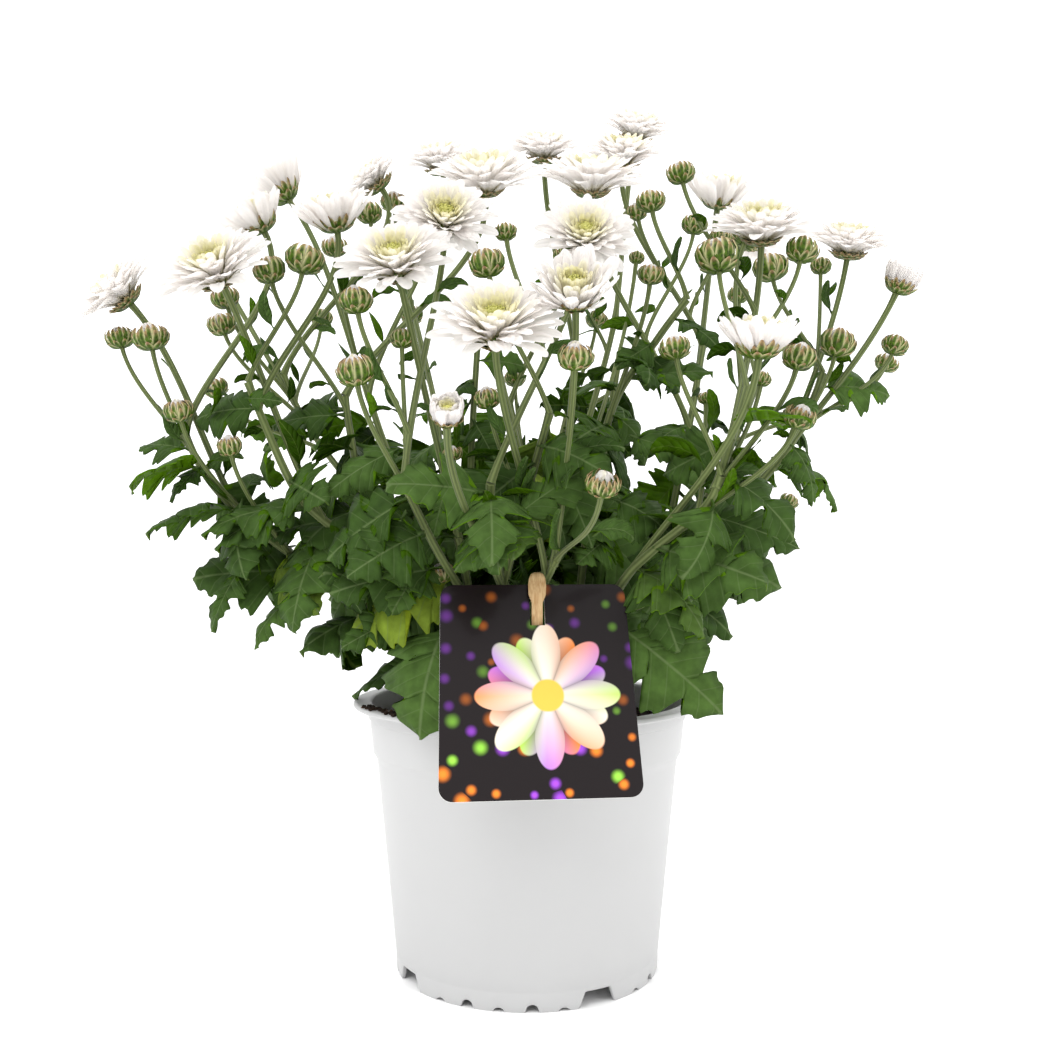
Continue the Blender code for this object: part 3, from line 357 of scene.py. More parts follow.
def petal_finish(name, stops):
    """Ray florets: living petals with three fine grooves, the colours given by their row.

    They scatter light softly, so they have no hard highlight.
    """
    petal, tree, shader, values = new_material(name, "share", "along", "across", Roughness=0.6,
                                               Specular_IOR_Level=0.25)
    by_row = add(tree, "ShaderNodeValToRGB", {"Fac": values["share"]}, stops=stops)
    by_length = add(tree, "ShaderNodeValToRGB", {"Fac": values["along"]}, stops=(
        (0.0, "#fbf8e4"), (0.30, "#ffffff")))
    body = add(tree, "ShaderNodeMix", {"Factor": 1.0, "A": by_row, "B": by_length},
               data_type="RGBA", blend_type="MULTIPLY")
    # The floors of the three grooves, where the relief is lowest, are tinted pale grey-lilac: painted shade
    # in the grooves.
    work_out(tree, values, (("wave", "MULTIPLY", "across", 3 * math.pi), ("turned", "COSINE", "wave"),
                            ("low", "MULTIPLY_ADD", "turned", -0.06, 0.06)))
    colour = add(tree, "ShaderNodeMix", {
        "Factor": values["low"], "A": body, "B": "#e9e5ec"}, data_type="RGBA")
    dress(tree, shader, colour, 0.5, 0.0004, values["turned"])
    let_light_through(tree, shader, colour, PETAL_GLOW)
    return petal


def leaf_finish(name, dark, bright, young, vein_colour):
    """Leaves: matt blades with fine pale veins, darker when old. The tissue swells between the side veins."""
    leaf, tree, shader, values = new_material(name, "along", "across", "shade", Roughness=0.50,
                                              Specular_IOR_Level=0.06)
    work_out(tree, values, (
        ("side", "ABSOLUTE", "across"), ("slant", "MULTIPLY_ADD", "side", -0.84, "along"),
        ("row", "DIVIDE", "slant", 0.15), ("part", "FRACT", "row"), ("centred", "SUBTRACT", "part", 0.5),
        ("near", "ABSOLUTE", "centred"), ("dip", "POWER", "near", 2.0)))
    side_vein = add(tree, "ShaderNodeMapRange", {"Value": values["near"], "From Min": 0.44, "From Max": 0.50,
                                                 "To Max": 0.30})
    midrib = add(tree, "ShaderNodeMapRange", {"Value": values["side"], "From Min": 0.003, "From Max": 0.013,
                                              "To Min": 0.6, "To Max": 0.0})
    vein = add(tree, "ShaderNodeMath", {0: side_vein, 1: midrib}, operation="MAXIMUM")
    ages = add(tree, "ShaderNodeValToRGB", {"Fac": values["shade"]}, stops=(
        (0.0, dark), (1.0, young), (0.80, bright), (0.93, bright)))
    # Blotches of 4.5 mm, as wide as the tissue between the finest veins.
    blotches = mottle(tree, 4.0, 220)
    shade = add(tree, "ShaderNodeMapRange", {"Value": blotches, "From Min": 0.3, "From Max": 0.7,
                                             "To Min": 0.74, "To Max": 1.24})
    toned = add(tree, "ShaderNodeVectorMath", {0: ages, 1: add(tree, "ShaderNodeCombineXYZ", {
        0: shade, 1: shade, 2: shade})}, operation="MULTIPLY")
    colour = add(tree, "ShaderNodeMix", {"Factor": vein, "A": toned, "B": vein_colour}, data_type="RGBA")
    let_light_through(tree, shader, colour, LEAF_GLOW)
    work_out(tree, values, (("swell", "MULTIPLY_ADD", "dip", -3.0, blotches),))
    dress(tree, shader, colour, 0.7, 0.0007, values["swell"])
    return leaf


def make_materials(settings):
    """All the finishes of the object, by name."""
    made = {key: mottled_finish(key) for key in ("peat", "wood", "board")}
    white = (*settings.petal_colour, 1.0)
    made["white petal"] = petal_finish("white_ray_petal", (
        (0.0, "#fdfae6"), (1.0, white), (0.12, "#fefcf2"), (0.30, white)))
    made["cream petal"] = petal_finish("cream_inner_petal", (
        (0.0, "#efecb4"), (1.0, "#fcf9e6"), (0.5, "#f9f6d6")))
    full_grown = (*settings.leaf_colour, 1.0)
    made["leaf_upper_side"] = leaf_finish("leaf_upper_side", full_grown, "#57800c", "#8a9d26", "#637936")
    made["leaf_underside"] = leaf_finish("leaf_underside", "#374f21", "#4c672f", "#7e9431", "#708355")

    # Disc florets: the short yellow-green tubes of the eye, paler at their mouths.
    made["eye"], tree, shader, values = new_material("disc_floret", "along", Roughness=0.6,
                                                     Specular_IOR_Level=0.3)
    plug(tree, shader, {"Base Color": add(tree, "ShaderNodeValToRGB", {"Fac": values["along"]}, stops=(
        (0.0, "#818431"), (1.0, "#cac87a"), (0.6, "#abaa4d")))})

    # Bracts: firm green scales, mottled at 1 mm, that pale to a dry cream margin and a brownish tip.
    made["bract"], tree, shader, values = new_material("green_bract", "across", "along", Roughness=0.5,
                                                       Specular_IOR_Level=0.2)
    work_out(tree, values, (("side", "ABSOLUTE", "across"), ("high", "MULTIPLY_ADD", "along", 0.75, 0.25)))
    green = add(tree, "ShaderNodeValToRGB", {"Fac": mottle(tree, 2.0, 900)}, stops=(
        (0.3, "#243404"), (0.7, "#4c6a10")))
    margin = add(tree, "ShaderNodeMapRange", {"Value": values["side"], "From Min": 0.30, "From Max": 1.0},
                 interpolation_type="SMOOTHSTEP")
    pale = add(tree, "ShaderNodeMath", {0: margin, 1: values["high"]}, operation="MULTIPLY")
    edged = add(tree, "ShaderNodeMix", {"Factor": pale, "A": green, "B": "#c6c090"}, data_type="RGBA")
    dry = add(tree, "ShaderNodeMapRange", {"Value": values["along"], "From Min": 0.66, "From Max": 1.0,
                                           "To Max": 0.75}, interpolation_type="SMOOTHSTEP")
    plug(tree, shader, {"Base Color": add(tree, "ShaderNodeMix", {
        "Factor": dry, "A": edged, "B": "#a0795c"}, data_type="RGBA")})

    # Stalks: green stems with patches of 17 mm by 40 mm. Their rib crests are painted paler, partly the ribs'
    # own paler green and partly a painted highlight along them. A down of hairs, 0.4 mm apart, dulls them.
    made["stalk"], tree, shader, values = new_material(
        "downy_stalk", "ridge", Roughness=0.62, Specular_IOR_Level=0.3, Sheen_Weight=0.10,
        Sheen_Roughness=0.5)
    skin = add(tree, "ShaderNodeValToRGB", {"Fac": mottle(tree, 3.0, 60, 60, 25)}, stops=(
        (0.32, "#38451c"), (0.68, "#4d5b2a")))
    ribbed = add(tree, "ShaderNodeMix", {
        "Factor": values["ridge"], "A": skin, "B": "#6b7644"}, data_type="RGBA")
    dress(tree, shader, ribbed, 0.35, 0.0002, mottle(tree, 2.0, 2500, 2500, 700))

    # Pot: injection moulded white polypropylene with a fine satin grain of 0.6 mm and faint clouds of 55 mm.
    made["pot"], tree, shader, _ = new_material("moulded_polypropylene", Roughness=0.42, IOR=1.49)
    cloud = mottle(tree, 3.0, 18)
    dull = (*(0.97 * part for part in settings.pot_colour), 1.0)
    plastic = add(tree, "ShaderNodeValToRGB", {"Fac": cloud}, stops=(
        (0.35, dull), (0.65, (*settings.pot_colour, 1.0))))
    dress(tree, shader, plastic, 0.06, 0.0001, mottle(tree, 2.0, 1600))
    plug(tree, shader, {"Roughness": add(tree, "ShaderNodeMapRange", {
        "Value": cloud, "To Min": 0.38, "To Max": 0.50})})
    made["print"] = printed_face()
    return made


def printed_face():
    """Glossy print on board: a generic rosette and round glows on near black, in the print's own plane.

    It is an offset print under a gloss film, so the dark ground mirrors the lamps softly.
    """
    face, tree, shader, values = new_material("glossy_print", "card_place", Roughness=0.35,
                                              Specular_IOR_Level=0.2, Coat_Weight=0.15, Coat_Roughness=0.10)
    place = values["card_place"].outputs["Vector"]
    values["x"], values["z"], _ = add(tree, "ShaderNodeSeparateXYZ", {0: place}).outputs
    # Places are in millimetres from the card's middle. Eight petals turn over eight more, half a petal round.
    work_out(tree, values, (
        ("u", "SUBTRACT", "x", 3.0), ("v", "ADD", "z", 2.0),
        ("uu", "MULTIPLY", "u", "u"), ("reach2", "MULTIPLY_ADD", "v", "v", "uu"),
        ("reach", "SQRT", "reach2"), ("angle", "ARCTAN2", "v", "u"),
        ("turns", "MULTIPLY", "angle", 4.0), ("wave", "COSINE", "turns"), ("lobe", "ABSOLUTE", "wave"),
        ("edge", "MULTIPLY_ADD", "lobe", 11.0, 11.0), ("inside", "SUBTRACT", "edge", "reach"),
        ("crease", "POWER", "lobe", 0.5), ("wave b", "SINE", "turns"), ("lobe b", "ABSOLUTE", "wave b"),
        ("edge b", "MULTIPLY_ADD", "lobe b", 8.5, 10.5), ("inside b", "SUBTRACT", "edge b", "reach"),
        ("hue", "MULTIPLY_ADD", "angle", 0.1592, 0.5), ("hues", "MULTIPLY", "hue", 3.0),
        ("part", "FRACT", "hues")))
    # Spots, one to a cell of 8 mm.
    spots = add(tree, "ShaderNodeTexVoronoi", {"Vector": place, "Scale": 0.125, "Randomness": 1.0},
                voronoi_dimensions="2D")
    shares = add(tree, "ShaderNodeSeparateColor", {0: spots.outputs["Color"]})
    values["pick"], values["size"], _ = shares.outputs
    values["spot"] = spots.outputs["Distance"]
    # Each share: the value it follows, where it starts and ends, and what it runs from and to.
    for name, value, start, end, low, high in (
            ("motif", "inside", -0.2, 0.4, 0.0, 1.0), ("under", "inside b", -0.2, 0.4, 0.0, 1.0),
            ("paler", "reach", 4.0, 21.0, 0.75, 0.1), ("shadow", "crease", 0.0, 1.0, 0.35, 1.0),
            ("heart", "reach", 4.6, 5.2, 1.0, 0.0), ("dusk", "reach", 6.0, 19.0, 0.0, 1.0),
            ("small", "size", 0.0, 1.0, 0.18, 0.38), ("glow", "spot", 0.03, "small", 1.0, 0.0),
            ("spread", "z", -6.0, -20.0, 0.25, 1.0)):
        values[name] = add(tree, "ShaderNodeMapRange", {
            "Value": values[value], "From Min": start, "From Max": values.get(end, end), "To Min": low,
            "To Max": high}, interpolation_type="SMOOTHSTEP" if name == "glow" else "LINEAR")
    work_out(tree, values, (("strength", "MULTIPLY", "glow", "spread"),))
    tint = add(tree, "ShaderNodeValToRGB", {"Fac": values["part"]}, stops=(
        (0.0, "#f08a3c"), (1.0, "#f08a3c"), (0.33, "#f3ead9"), (0.5, "#b8e05a"), (0.72, "#b46bdc")))
    lamp = add(tree, "ShaderNodeValToRGB", {"Fac": values["pick"]}, stops=(
        (0.0, "#ff8a2a"), (0.45, "#a64ce0"), (0.75, "#9be04a")))
    lamp.color_ramp.interpolation = "CONSTANT"
    # The petals are shaded between the first and second mix of these.
    for name, share, ground, colour in (
            ("petals", "paler", tint, "#f7efe2"), ("rosette", "heart", "shaded", "#e9c04e"),
            ("deep", "dusk", "#2a1626", tint), ("ground", "strength", "#140c0e", lamp),
            ("backed", "under", "ground", "deep"), ("all", "motif", "backed", "rosette")):
        values[name] = add(tree, "ShaderNodeMix", {
            "Factor": values[share], "A": values.get(ground, ground), "B": values.get(colour, colour)},
            data_type="RGBA")
        if name == "petals":
            grey = add(tree, "ShaderNodeCombineXYZ", {i: values["shadow"] for i in range(3)})
            values["shaded"] = add(tree, "ShaderNodeVectorMath", {
                0: values[name], 1: grey}, operation="MULTIPLY")
    plug(tree, shader, {"Base Color": values["all"]})
    return face


# Mesh helpers


def at(point):
    """A point in millimetres as a vector in metres."""
    return Vector(point) * MM


def ahead(azimuth):
    """The level direction of an azimuth."""
    angle = math.radians(azimuth)
    return Vector((math.sin(angle), -math.cos(angle), 0.0))


def link(thing, visible=True):
    """Puts an object into the scene, and keeps it out of the render if asked."""
    bpy.context.scene.collection.objects.link(thing)
    thing.hide_render = not visible
    return thing


def evaluated(thing):
    """The object's mesh with its modifiers applied, all attributes kept."""
    graph = bpy.context.evaluated_depsgraph_get()
    return bpy.data.meshes.new_from_object(thing.evaluated_get(graph), preserve_all_data_layers=True,
                                           depsgraph=graph)


def grown(tree, source, inputs):
    """The plain mesh that a node tree makes from a source mesh. Inputs are set before it is evaluated."""
    thing = bpy.data.objects.new("grown", source)
    grower = thing.modifiers.new(tree.name, "NODES")
    grower.node_group = tree
    for item in tree.interface.items_tree:
        if item.item_type == "SOCKET" and item.in_out == "INPUT" and item.name in inputs:
            grower[item.identifier] = inputs[item.name]
    link(thing)
    mesh = evaluated(thing)
    thing.modifiers.remove(grower)
    bpy.data.objects.remove(thing)
    return mesh


def joined(meshes):
    """One mesh of several, with their attributes and materials."""
    things = [link(bpy.data.objects.new("part", mesh)) for mesh in meshes]
    with bpy.context.temp_override(active_object=things[0], selected_editable_objects=things):
        bpy.ops.object.join()
    mesh = things[0].data
    bpy.data.objects.remove(things[0])
    return mesh


def keep(name, mesh, slot, *nodes):
    """A finished piece, which rides on the one body and stands for its nodes."""
    piece = link(bpy.data.objects.new(name, mesh))
    mesh.name = name
    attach(piece, "root")
    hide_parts(*nodes)
    return piece


def mesh_of(name, verts, faces, materials=(), **attributes):
    """A mesh from points and faces, with float attributes on its points."""
    mesh = bpy.data.meshes.new(name)
    mesh.from_pydata(verts, [], faces)
    for key, numbers in attributes.items():
        mesh.attributes.new(key, "FLOAT", "POINT").data.foreach_set("value", numbers)
    for material in materials:
        mesh.materials.append(material)
    return mesh


def band(low, high, steps):
    """Faces between two rings. Each is its first point's number and a step of 1, or of 0 for one point."""
    (first, near), (second, far) = low, high
    faces = []
    for i in range(steps):
        j = (i + 1) % steps
        face = (first + i * near, second + i * far, second + j * far, first + j * near)
        faces.append(tuple(dict.fromkeys(face)))
    return faces


# Node trees


def new_tree(name, inputs):
    """An empty geometry node tree with named inputs. Gives it with its input node's outputs."""
    tree = bpy.data.node_groups.new(name, "GeometryNodeTree")
    tree.is_modifier = True
    for label, kind in inputs:
        tree.interface.new_socket(name=label, in_out="INPUT", socket_type="NodeSocket" + kind)
    tree.interface.new_socket(name="Geometry", in_out="OUTPUT", socket_type="NodeSocketGeometry")
    return tree, add(tree, "NodeGroupInput").outputs


def close_tree(tree, geometry, material, reverse=None, selection=True):
    """Ends a tree in plain faces of one material, and of another one where the selection says so."""
    done = add(tree, "GeometryNodeSetMaterial", {
        "Geometry": add(tree, "GeometryNodeRealizeInstances", {"Geometry": geometry}), "Material": material})
    if reverse:
        done = add(tree, "GeometryNodeSetMaterial", {
            "Geometry": done, "Selection": selection, "Material": reverse})
    add(tree, "NodeGroupOutput", {"Geometry": done})
    return tree


WHORL_SHAPING = ("Cup", "Thickness", "Power", "Length Spread", "Tilt Spread", "Turn Spread", "Roll Spread")
WHORL_PAIRS = ("Start Radius", "Start Height", "Length", "Width", "Base Tilt", "Tip Tilt")


def make_whorl_tree():
    """Straps or scales set round an axis, each bent along its length. Inner and outer sizes are blended."""
    inputs = [("Geometry", "Geometry"), ("Template", "Object"), ("Count", "Int"), ("Turn Step", "Float")]
    inputs += [(f"{end} {label}", "Float") for label in WHORL_PAIRS for end in ("Inner", "Outer")]
    inputs += [(label, "Float") for label in WHORL_SHAPING]
    tree, given = new_tree("Whorl", inputs + [("Seed", "Int"), ("Material", "Material")])
    index = add(tree, "GeometryNodeInputIndex")
    values = {label: given[label] for label, kind in inputs if kind in ("Int", "Float")}
    values["index"] = index
    for i, name in enumerate(("length", "tilt", "tip", "turn", "roll")):
        seed = add(tree, "ShaderNodeMath", {0: given["Seed"], 1: float(i * 101)}, operation="ADD")
        values["any " + name] = add(tree, "FunctionNodeRandomValue", {
            "Min": -1.0, "Max": 1.0, "ID": index, "Seed": seed}, data_type="FLOAT")
    work_out(tree, values, (
        ("last", "SUBTRACT", "Count", 1.0), ("most", "MAXIMUM", "last", 1.0),
        ("share", "DIVIDE", "index", "most"), ("root", "SQRT", "share"),
        ("eased", "POWER", "share", "Power")))
    for label, blend in zip(WHORL_PAIRS, ("root",) + ("eased",) * 5):
        work_out(tree, values, (
            ("gap", "SUBTRACT", "Outer " + label, "Inner " + label),
            (label, "MULTIPLY_ADD", "gap", blend, "Inner " + label)))
    work_out(tree, values, (
        ("stretch", "MULTIPLY_ADD", "any length", "Length Spread", 1.0),
        ("length", "MULTIPLY", "Length", "stretch"),
        ("tilt", "MULTIPLY_ADD", "any tilt", "Tilt Spread", "Base Tilt"),
        ("end", "MULTIPLY_ADD", "any tip", "Tilt Spread", "Tip Tilt"),
        ("bend raw", "SUBTRACT", "end", "tilt"), ("bend", "ADD", "bend raw", 0.0007),
        ("even", "MULTIPLY", "index", "Turn Step"),
        ("turn", "MULTIPLY_ADD", "any turn", "Turn Spread", "even"),
        ("roll", "MULTIPLY", "any roll", "Roll Spread")))
    points = add(tree, "GeometryNodePoints", {"Count": given["Count"]})
    kept = {"share": "share", "length": "length", "tilt": "tilt", "bend": "bend", "turn": "turn",
            "roll": "roll", "wide": "Width", "out": "Start Radius", "up": "Start Height"}
    for name, value in kept.items():
        points = add(tree, "GeometryNodeStoreNamedAttribute", {
            "Geometry": points, "Name": name, "Value": values[value]}, data_type="FLOAT", domain="POINT")
    shape = add(tree, "GeometryNodeObjectInfo", {"Object": given["Template"]}).outputs["Geometry"]
    copies = add(tree, "GeometryNodeInstanceOnPoints", {"Points": points, "Instance": shape})
    flat = add(tree, "GeometryNodeRealizeInstances", {"Geometry": copies})
    split = add(tree, "ShaderNodeSeparateXYZ", {0: add(tree, "GeometryNodeInputPosition")})
    values = {"Cup": given["Cup"], "Thickness": given["Thickness"], **dict(zip("xyz", split.outputs))}
    for name in kept:
        values[name] = add(tree, "GeometryNodeInputNamedAttribute", {"Name": name}, data_type="FLOAT")
    work_out(tree, values, (
        ("phi", "MULTIPLY_ADD", "bend", "x", "tilt"),
        ("sin phi", "SINE", "phi"), ("cos phi", "COSINE", "phi"),
        ("sin tilt", "SINE", "tilt"), ("cos tilt", "COSINE", "tilt"),
        ("arc", "DIVIDE", "length", "bend"),
        ("d out", "SUBTRACT", "sin phi", "sin tilt"), ("d up", "SUBTRACT", "cos tilt", "cos phi"),
        ("mid out", "MULTIPLY_ADD", "d out", "arc", "out"), ("mid up", "MULTIPLY_ADD", "d up", "arc", "up"),
        ("half", "MULTIPLY", "wide", 0.5), ("side", "MULTIPLY", "y", "half"),
        ("y y", "MULTIPLY", "y", "y"), ("hollow", "MULTIPLY", "Cup", "half"),
        ("thick", "MULTIPLY", "z", "Thickness"), ("lift a", "MULTIPLY_ADD", "y y", "hollow", "thick"),
        ("lift", "MULTIPLY_ADD", "roll", "side", "lift a"),
        ("back", "MULTIPLY", "lift", "sin phi"), ("r", "SUBTRACT", "mid out", "back"),
        ("height", "MULTIPLY_ADD", "lift", "cos phi", "mid up"),
        ("sin turn", "SINE", "turn"), ("cos turn", "COSINE", "turn"),
        ("rx", "MULTIPLY", "r", "cos turn"), ("sx", "MULTIPLY", "side", "sin turn"),
        ("px", "SUBTRACT", "rx", "sx"),
        ("ry", "MULTIPLY", "r", "sin turn"), ("py", "MULTIPLY_ADD", "side", "cos turn", "ry")))
    bent = add(tree, "GeometryNodeSetPosition", {"Geometry": flat, "Position": add(
        tree, "ShaderNodeCombineXYZ", {0: values["px"], 1: values["py"], 2: values["height"]})})
    return close_tree(tree, bent, given["Material"])


def make_copies_tree():
    """Copies of the shapes in a collection, set on points by their turn, size and kind."""
    tree, given = new_tree("Placed copies", [
        ("Geometry", "Geometry"), ("Shapes", "Collection"), ("Material", "Material"),
        ("Reverse", "Material")])
    named = {name: add(tree, "GeometryNodeInputNamedAttribute", {"Name": name}, data_type=kind)
             for name, kind in (("turn", "FLOAT_VECTOR"), ("size", "FLOAT_VECTOR"), ("kind", "INT"),
                                ("reverse", "BOOLEAN"))}
    shapes = add(tree, "GeometryNodeCollectionInfo", {
        "Collection": given["Shapes"], "Separate Children": True, "Reset Children": True})
    copies = add(tree, "GeometryNodeInstanceOnPoints", {
        "Points": given["Geometry"], "Instance": shapes, "Pick Instance": True,
        "Instance Index": named["kind"], "Scale": named["size"],
        "Rotation": add(tree, "FunctionNodeEulerToRotation", {0: named["turn"]})})
    return close_tree(tree, copies, given["Material"], given["Reverse"], named["reverse"])


def make_stalk_tree():
    """Ribbed stems along a mesh's edges, as thick as its radius attribute says."""
    tree, given = new_tree("Ribbed stalks", [
        ("Geometry", "Geometry"), ("Sides", "Int"), ("Rib Depth", "Float"), ("Material", "Material")])
    routes = add(tree, "GeometryNodeMeshToCurve", {0: given["Geometry"]})
    ring = add(tree, "GeometryNodeCurvePrimitiveCircle", {"Resolution": given["Sides"], "Radius": 1.0})
    # Every other point of the ring is a rib crest, marked so that the stalk's finish paints it paler, partly
    # as a painted highlight.
    rib = add(tree, "ShaderNodeMath", {0: add(tree, "GeometryNodeInputIndex"), 1: 2.0}, operation="MODULO")
    marked = add(tree, "GeometryNodeStoreNamedAttribute", {
        "Geometry": ring, "Name": "ridge", "Value": rib}, data_type="FLOAT", domain="POINT")
    reach = add(tree, "ShaderNodeMath", {0: rib, 1: given["Rib Depth"], 2: 1.0}, operation="MULTIPLY_ADD")
    ribbed = add(tree, "GeometryNodeSetPosition", {"Geometry": marked, "Position": add(
        tree, "ShaderNodeVectorMath", {0: add(tree, "GeometryNodeInputPosition"), "Scale": reach},
        operation="SCALE")})
    thick = add(tree, "GeometryNodeInputNamedAttribute", {"Name": "thick"}, data_type="FLOAT")
    tubes = add(tree, "GeometryNodeCurveToMesh", {
        "Curve": routes, "Profile Curve": ribbed, "Scale": thick, "Fill Caps": True})
    return close_tree(tree, tubes, given["Material"])


def make_crumb_tree():
    """Crumbs scattered over a surface, turned and sized at random."""
    tree, given = new_tree("Scattered crumbs", [
        ("Geometry", "Geometry"), ("Shapes", "Collection"), ("Density", "Float"), ("Smallest", "Float"),
        ("Largest", "Float"), ("Seed", "Int"), ("Material", "Material")])
    points = add(tree, "GeometryNodeDistributePointsOnFaces", {
        "Mesh": given["Geometry"], "Density": given["Density"], "Seed": given["Seed"]})
    shapes = add(tree, "GeometryNodeCollectionInfo", {
        "Collection": given["Shapes"], "Separate Children": True, "Reset Children": True})
    size = add(tree, "FunctionNodeRandomValue", {
        "Min": given["Smallest"], "Max": given["Largest"], "Seed": given["Seed"]}, data_type="FLOAT")
    turn = add(tree, "FunctionNodeRandomValue", {
        "Min": (0.0, 0.0, 0.0), "Max": (6.28, 6.28, 6.28), "Seed": given["Seed"]}, data_type="FLOAT_VECTOR")
    copies = add(tree, "GeometryNodeInstanceOnPoints", {
        "Points": points, "Instance": shapes, "Pick Instance": True, "Rotation": add(
            tree, "FunctionNodeEulerToRotation", {0: turn}), "Scale": size})
    return close_tree(tree, copies, given["Material"])


# Shapes that are repeated


def strap(name, rows, tip, relief):
    """A closed strap of unit length. Rows are length share and half width; the tip row ends it.

    The relief lifts its columns, 3 or 5 of them. Its Y runs from -1 to 1 at the widest, and its Z is a
    share of the thickness.
    """
    last = len(relief) - 1
    middle = last // 2
    columns = [2 * i / last - 1 for i in range(last + 1)]
    verts, along, across = [], [], []

    def point(x, column, width, z):
        """Adds a point and gives its number."""
        verts.append((x, column * width, z))
        along.append(x)
        across.append(column)
        return len(verts) - 1

    top = [[point(x, c, width, z) for c, z in zip(columns, relief)] for x, width in rows]
    keel = [point(x, 0.0, width, -0.5) for x, width in rows]
    end = [point(x, c, width, 0.0) for c, (x, width) in zip(columns, tip)]
    faces = []
    for low, high in zip(top, top[1:] + [end]):
        faces += [(low[i], high[i], high[i + 1], low[i + 1]) for i in range(last)]
    for i in range(len(rows) - 1):
        faces.append((top[i][0], keel[i], keel[i + 1], top[i + 1][0]))
        faces.append((keel[i], top[i][last], top[i + 1][last], keel[i + 1]))
    faces.append((top[-1][0], keel[-1], *end[middle::-1]))
    faces.append((keel[-1], top[-1][last], *end[:middle - 1:-1]))
    faces.append((*top[0], keel[0]))
    mesh = mesh_of(name, verts, [face[::-1] for face in faces], along=along, across=across)
    mesh.shade_smooth()
    rims = {frozenset((row[side], after[side])) for side in (0, last)
            for row, after in zip(top, top[1:] + [end])}
    rims |= {frozenset(pair) for pair in zip(end, end[1:])}
    sharp = mesh.attributes.new("sharp_edge", "BOOLEAN", "EDGE")
    for i, edge in enumerate(mesh.edges):
        sharp.data[i].value = frozenset(edge.vertices) in rims
    return link(bpy.data.objects.new(name, mesh), visible=False)


PETAL_ROWS = ((0.0, 0.32), (0.18, 0.50), (0.42, 0.86), (0.66, 1.0), (0.84, 0.88), (0.935, 0.62))
PETAL_TIP = ((0.965, 0.42), (0.99, 0.40), (1.0, 0.0), (0.99, 0.40), (0.965, 0.42))
QUILL_ROWS = ((0.0, 0.45), (0.35, 0.75), (0.70, 1.0), (0.90, 0.82))
QUILL_TIP = ((0.96, 0.5), (1.0, 0.0), (0.96, 0.5))
SCALE_ROWS = ((0.0, 0.45), (0.18, 0.70), (0.42, 0.98), (0.64, 0.94), (0.84, 0.62))
SCALE_TIP = ((0.95, 0.30), (1.0, 0.0), (0.95, 0.30))
TUBE_ROWS = ((0.0, 0.7), (0.6, 0.85), (0.88, 1.0))
TUBE_TIP = ((0.97, 0.8), (0.95, 0.0), (0.97, 0.8))


def whorl(made, shape, material, count, turn_step=GOLDEN_ANGLE, cup=0.15, thickness=0.6, power=0.7,
          length_spread=0.0, tilt_spread=0.0, turn_spread=0.0, roll_spread=0.0, seed=1, **pairs):
    """A whorl's mesh. Pairs are inner and outer sizes in millimetres, and tilts in degrees."""
    inputs = {"Template": made[shape], "Material": made["materials"][material], "Count": count,
              "Turn Step": turn_step, "Cup": cup, "Thickness": thickness * MM, "Power": power,
              "Length Spread": length_spread, "Tilt Spread": math.radians(tilt_spread),
              "Turn Spread": math.radians(turn_spread), "Roll Spread": roll_spread, "Seed": seed}
    for key, sizes in pairs.items():
        label = key.replace("_", " ").title()
        for end, size in zip(("Inner", "Outer"), sizes):
            inputs[f"{end} {label}"] = math.radians(size) if "Tilt" in label else size * MM
    return grown(made["whorl"], bpy.data.meshes.new("empty"), inputs)


# The whorls of blooms: shape, material and count, then what these keys name. The count of petals is a share
# of the florets asked for. Radii, heights and lengths are shares of the bloom's radius. The width is in
# millimetres for tubes, and is a share of the bloom's petal width for the others.
WHORL_KEYS = tuple(label.lower().replace(" ", "_") for label in WHORL_SHAPING + WHORL_PAIRS)
OPEN_WHORLS = (
    ("petal", "white petal", 1.0, 0.24, 0.6, 0.85, 0.08, 6, 7, 0.24,
     (0.18, 0.20), (0.15, -0.12), (0.42, 0.94), (0.70, 1.28), (66, 36), (62, -8)),
    ("quill", "cream petal", 62, 0.5, 0.6, 0.9, 0.14, 9, 12, 0.3,
     (0.10, 0.20), (0.25, 0.15), (0.12, 0.36), (0.28, 0.48), (90, 72), (98, 70)),
    ("tube", "eye", 44, 0.6, 0.9, 1.0, 0.15, 10, 0, 0.0,
     (0.0, 0.13), (0.29, 0.25), (0.09, 0.13), (0.9, 1.0), (90, 76), (94, 102)),
)
HALF_OPEN_WHORLS = (
    ("petal", "white petal", 0.625, 0.45, 0.6, 0.7, 0.13, 9, 12, 0.35,
     (0.26, 0.30), (0.04, -0.18), (0.56, 1.10), (0.7, 1.15), (66, 28), (84, 60)),
    ("quill", "cream petal", 48, 0.5, 0.6, 0.8, 0.15, 9, 10, 0.3,
     (0.10, 0.26), (0.30, 0.14), (0.20, 0.50), (0.3, 0.6), (90, 76), (96, 88)),
    ("tube", "eye", 26, 0.6, 0.9, 1.0, 0.15, 10, 0, 0.0,
     (0.0, 0.14), (0.38, 0.34), (0.12, 0.16), (0.8, 0.9), (90, 78), (94, 100)),
)
# Blooms narrower than this are still closed: their petals meet over the eye.
CLOSED_WIDTH = 20
CLOSED_TIP_TILT = (108, 112)


def rounded(outline):
    """The outline with each corner cut at a quarter of its sides, so that its teeth are blunt."""
    points = [outline[0]]
    for low, high in zip(outline, outline[1:]):
        points += [tuple(a + (b - a) * share for a, b in zip(low, high)) for share in (0.25, 0.75)]
    return points + [outline[-1]]


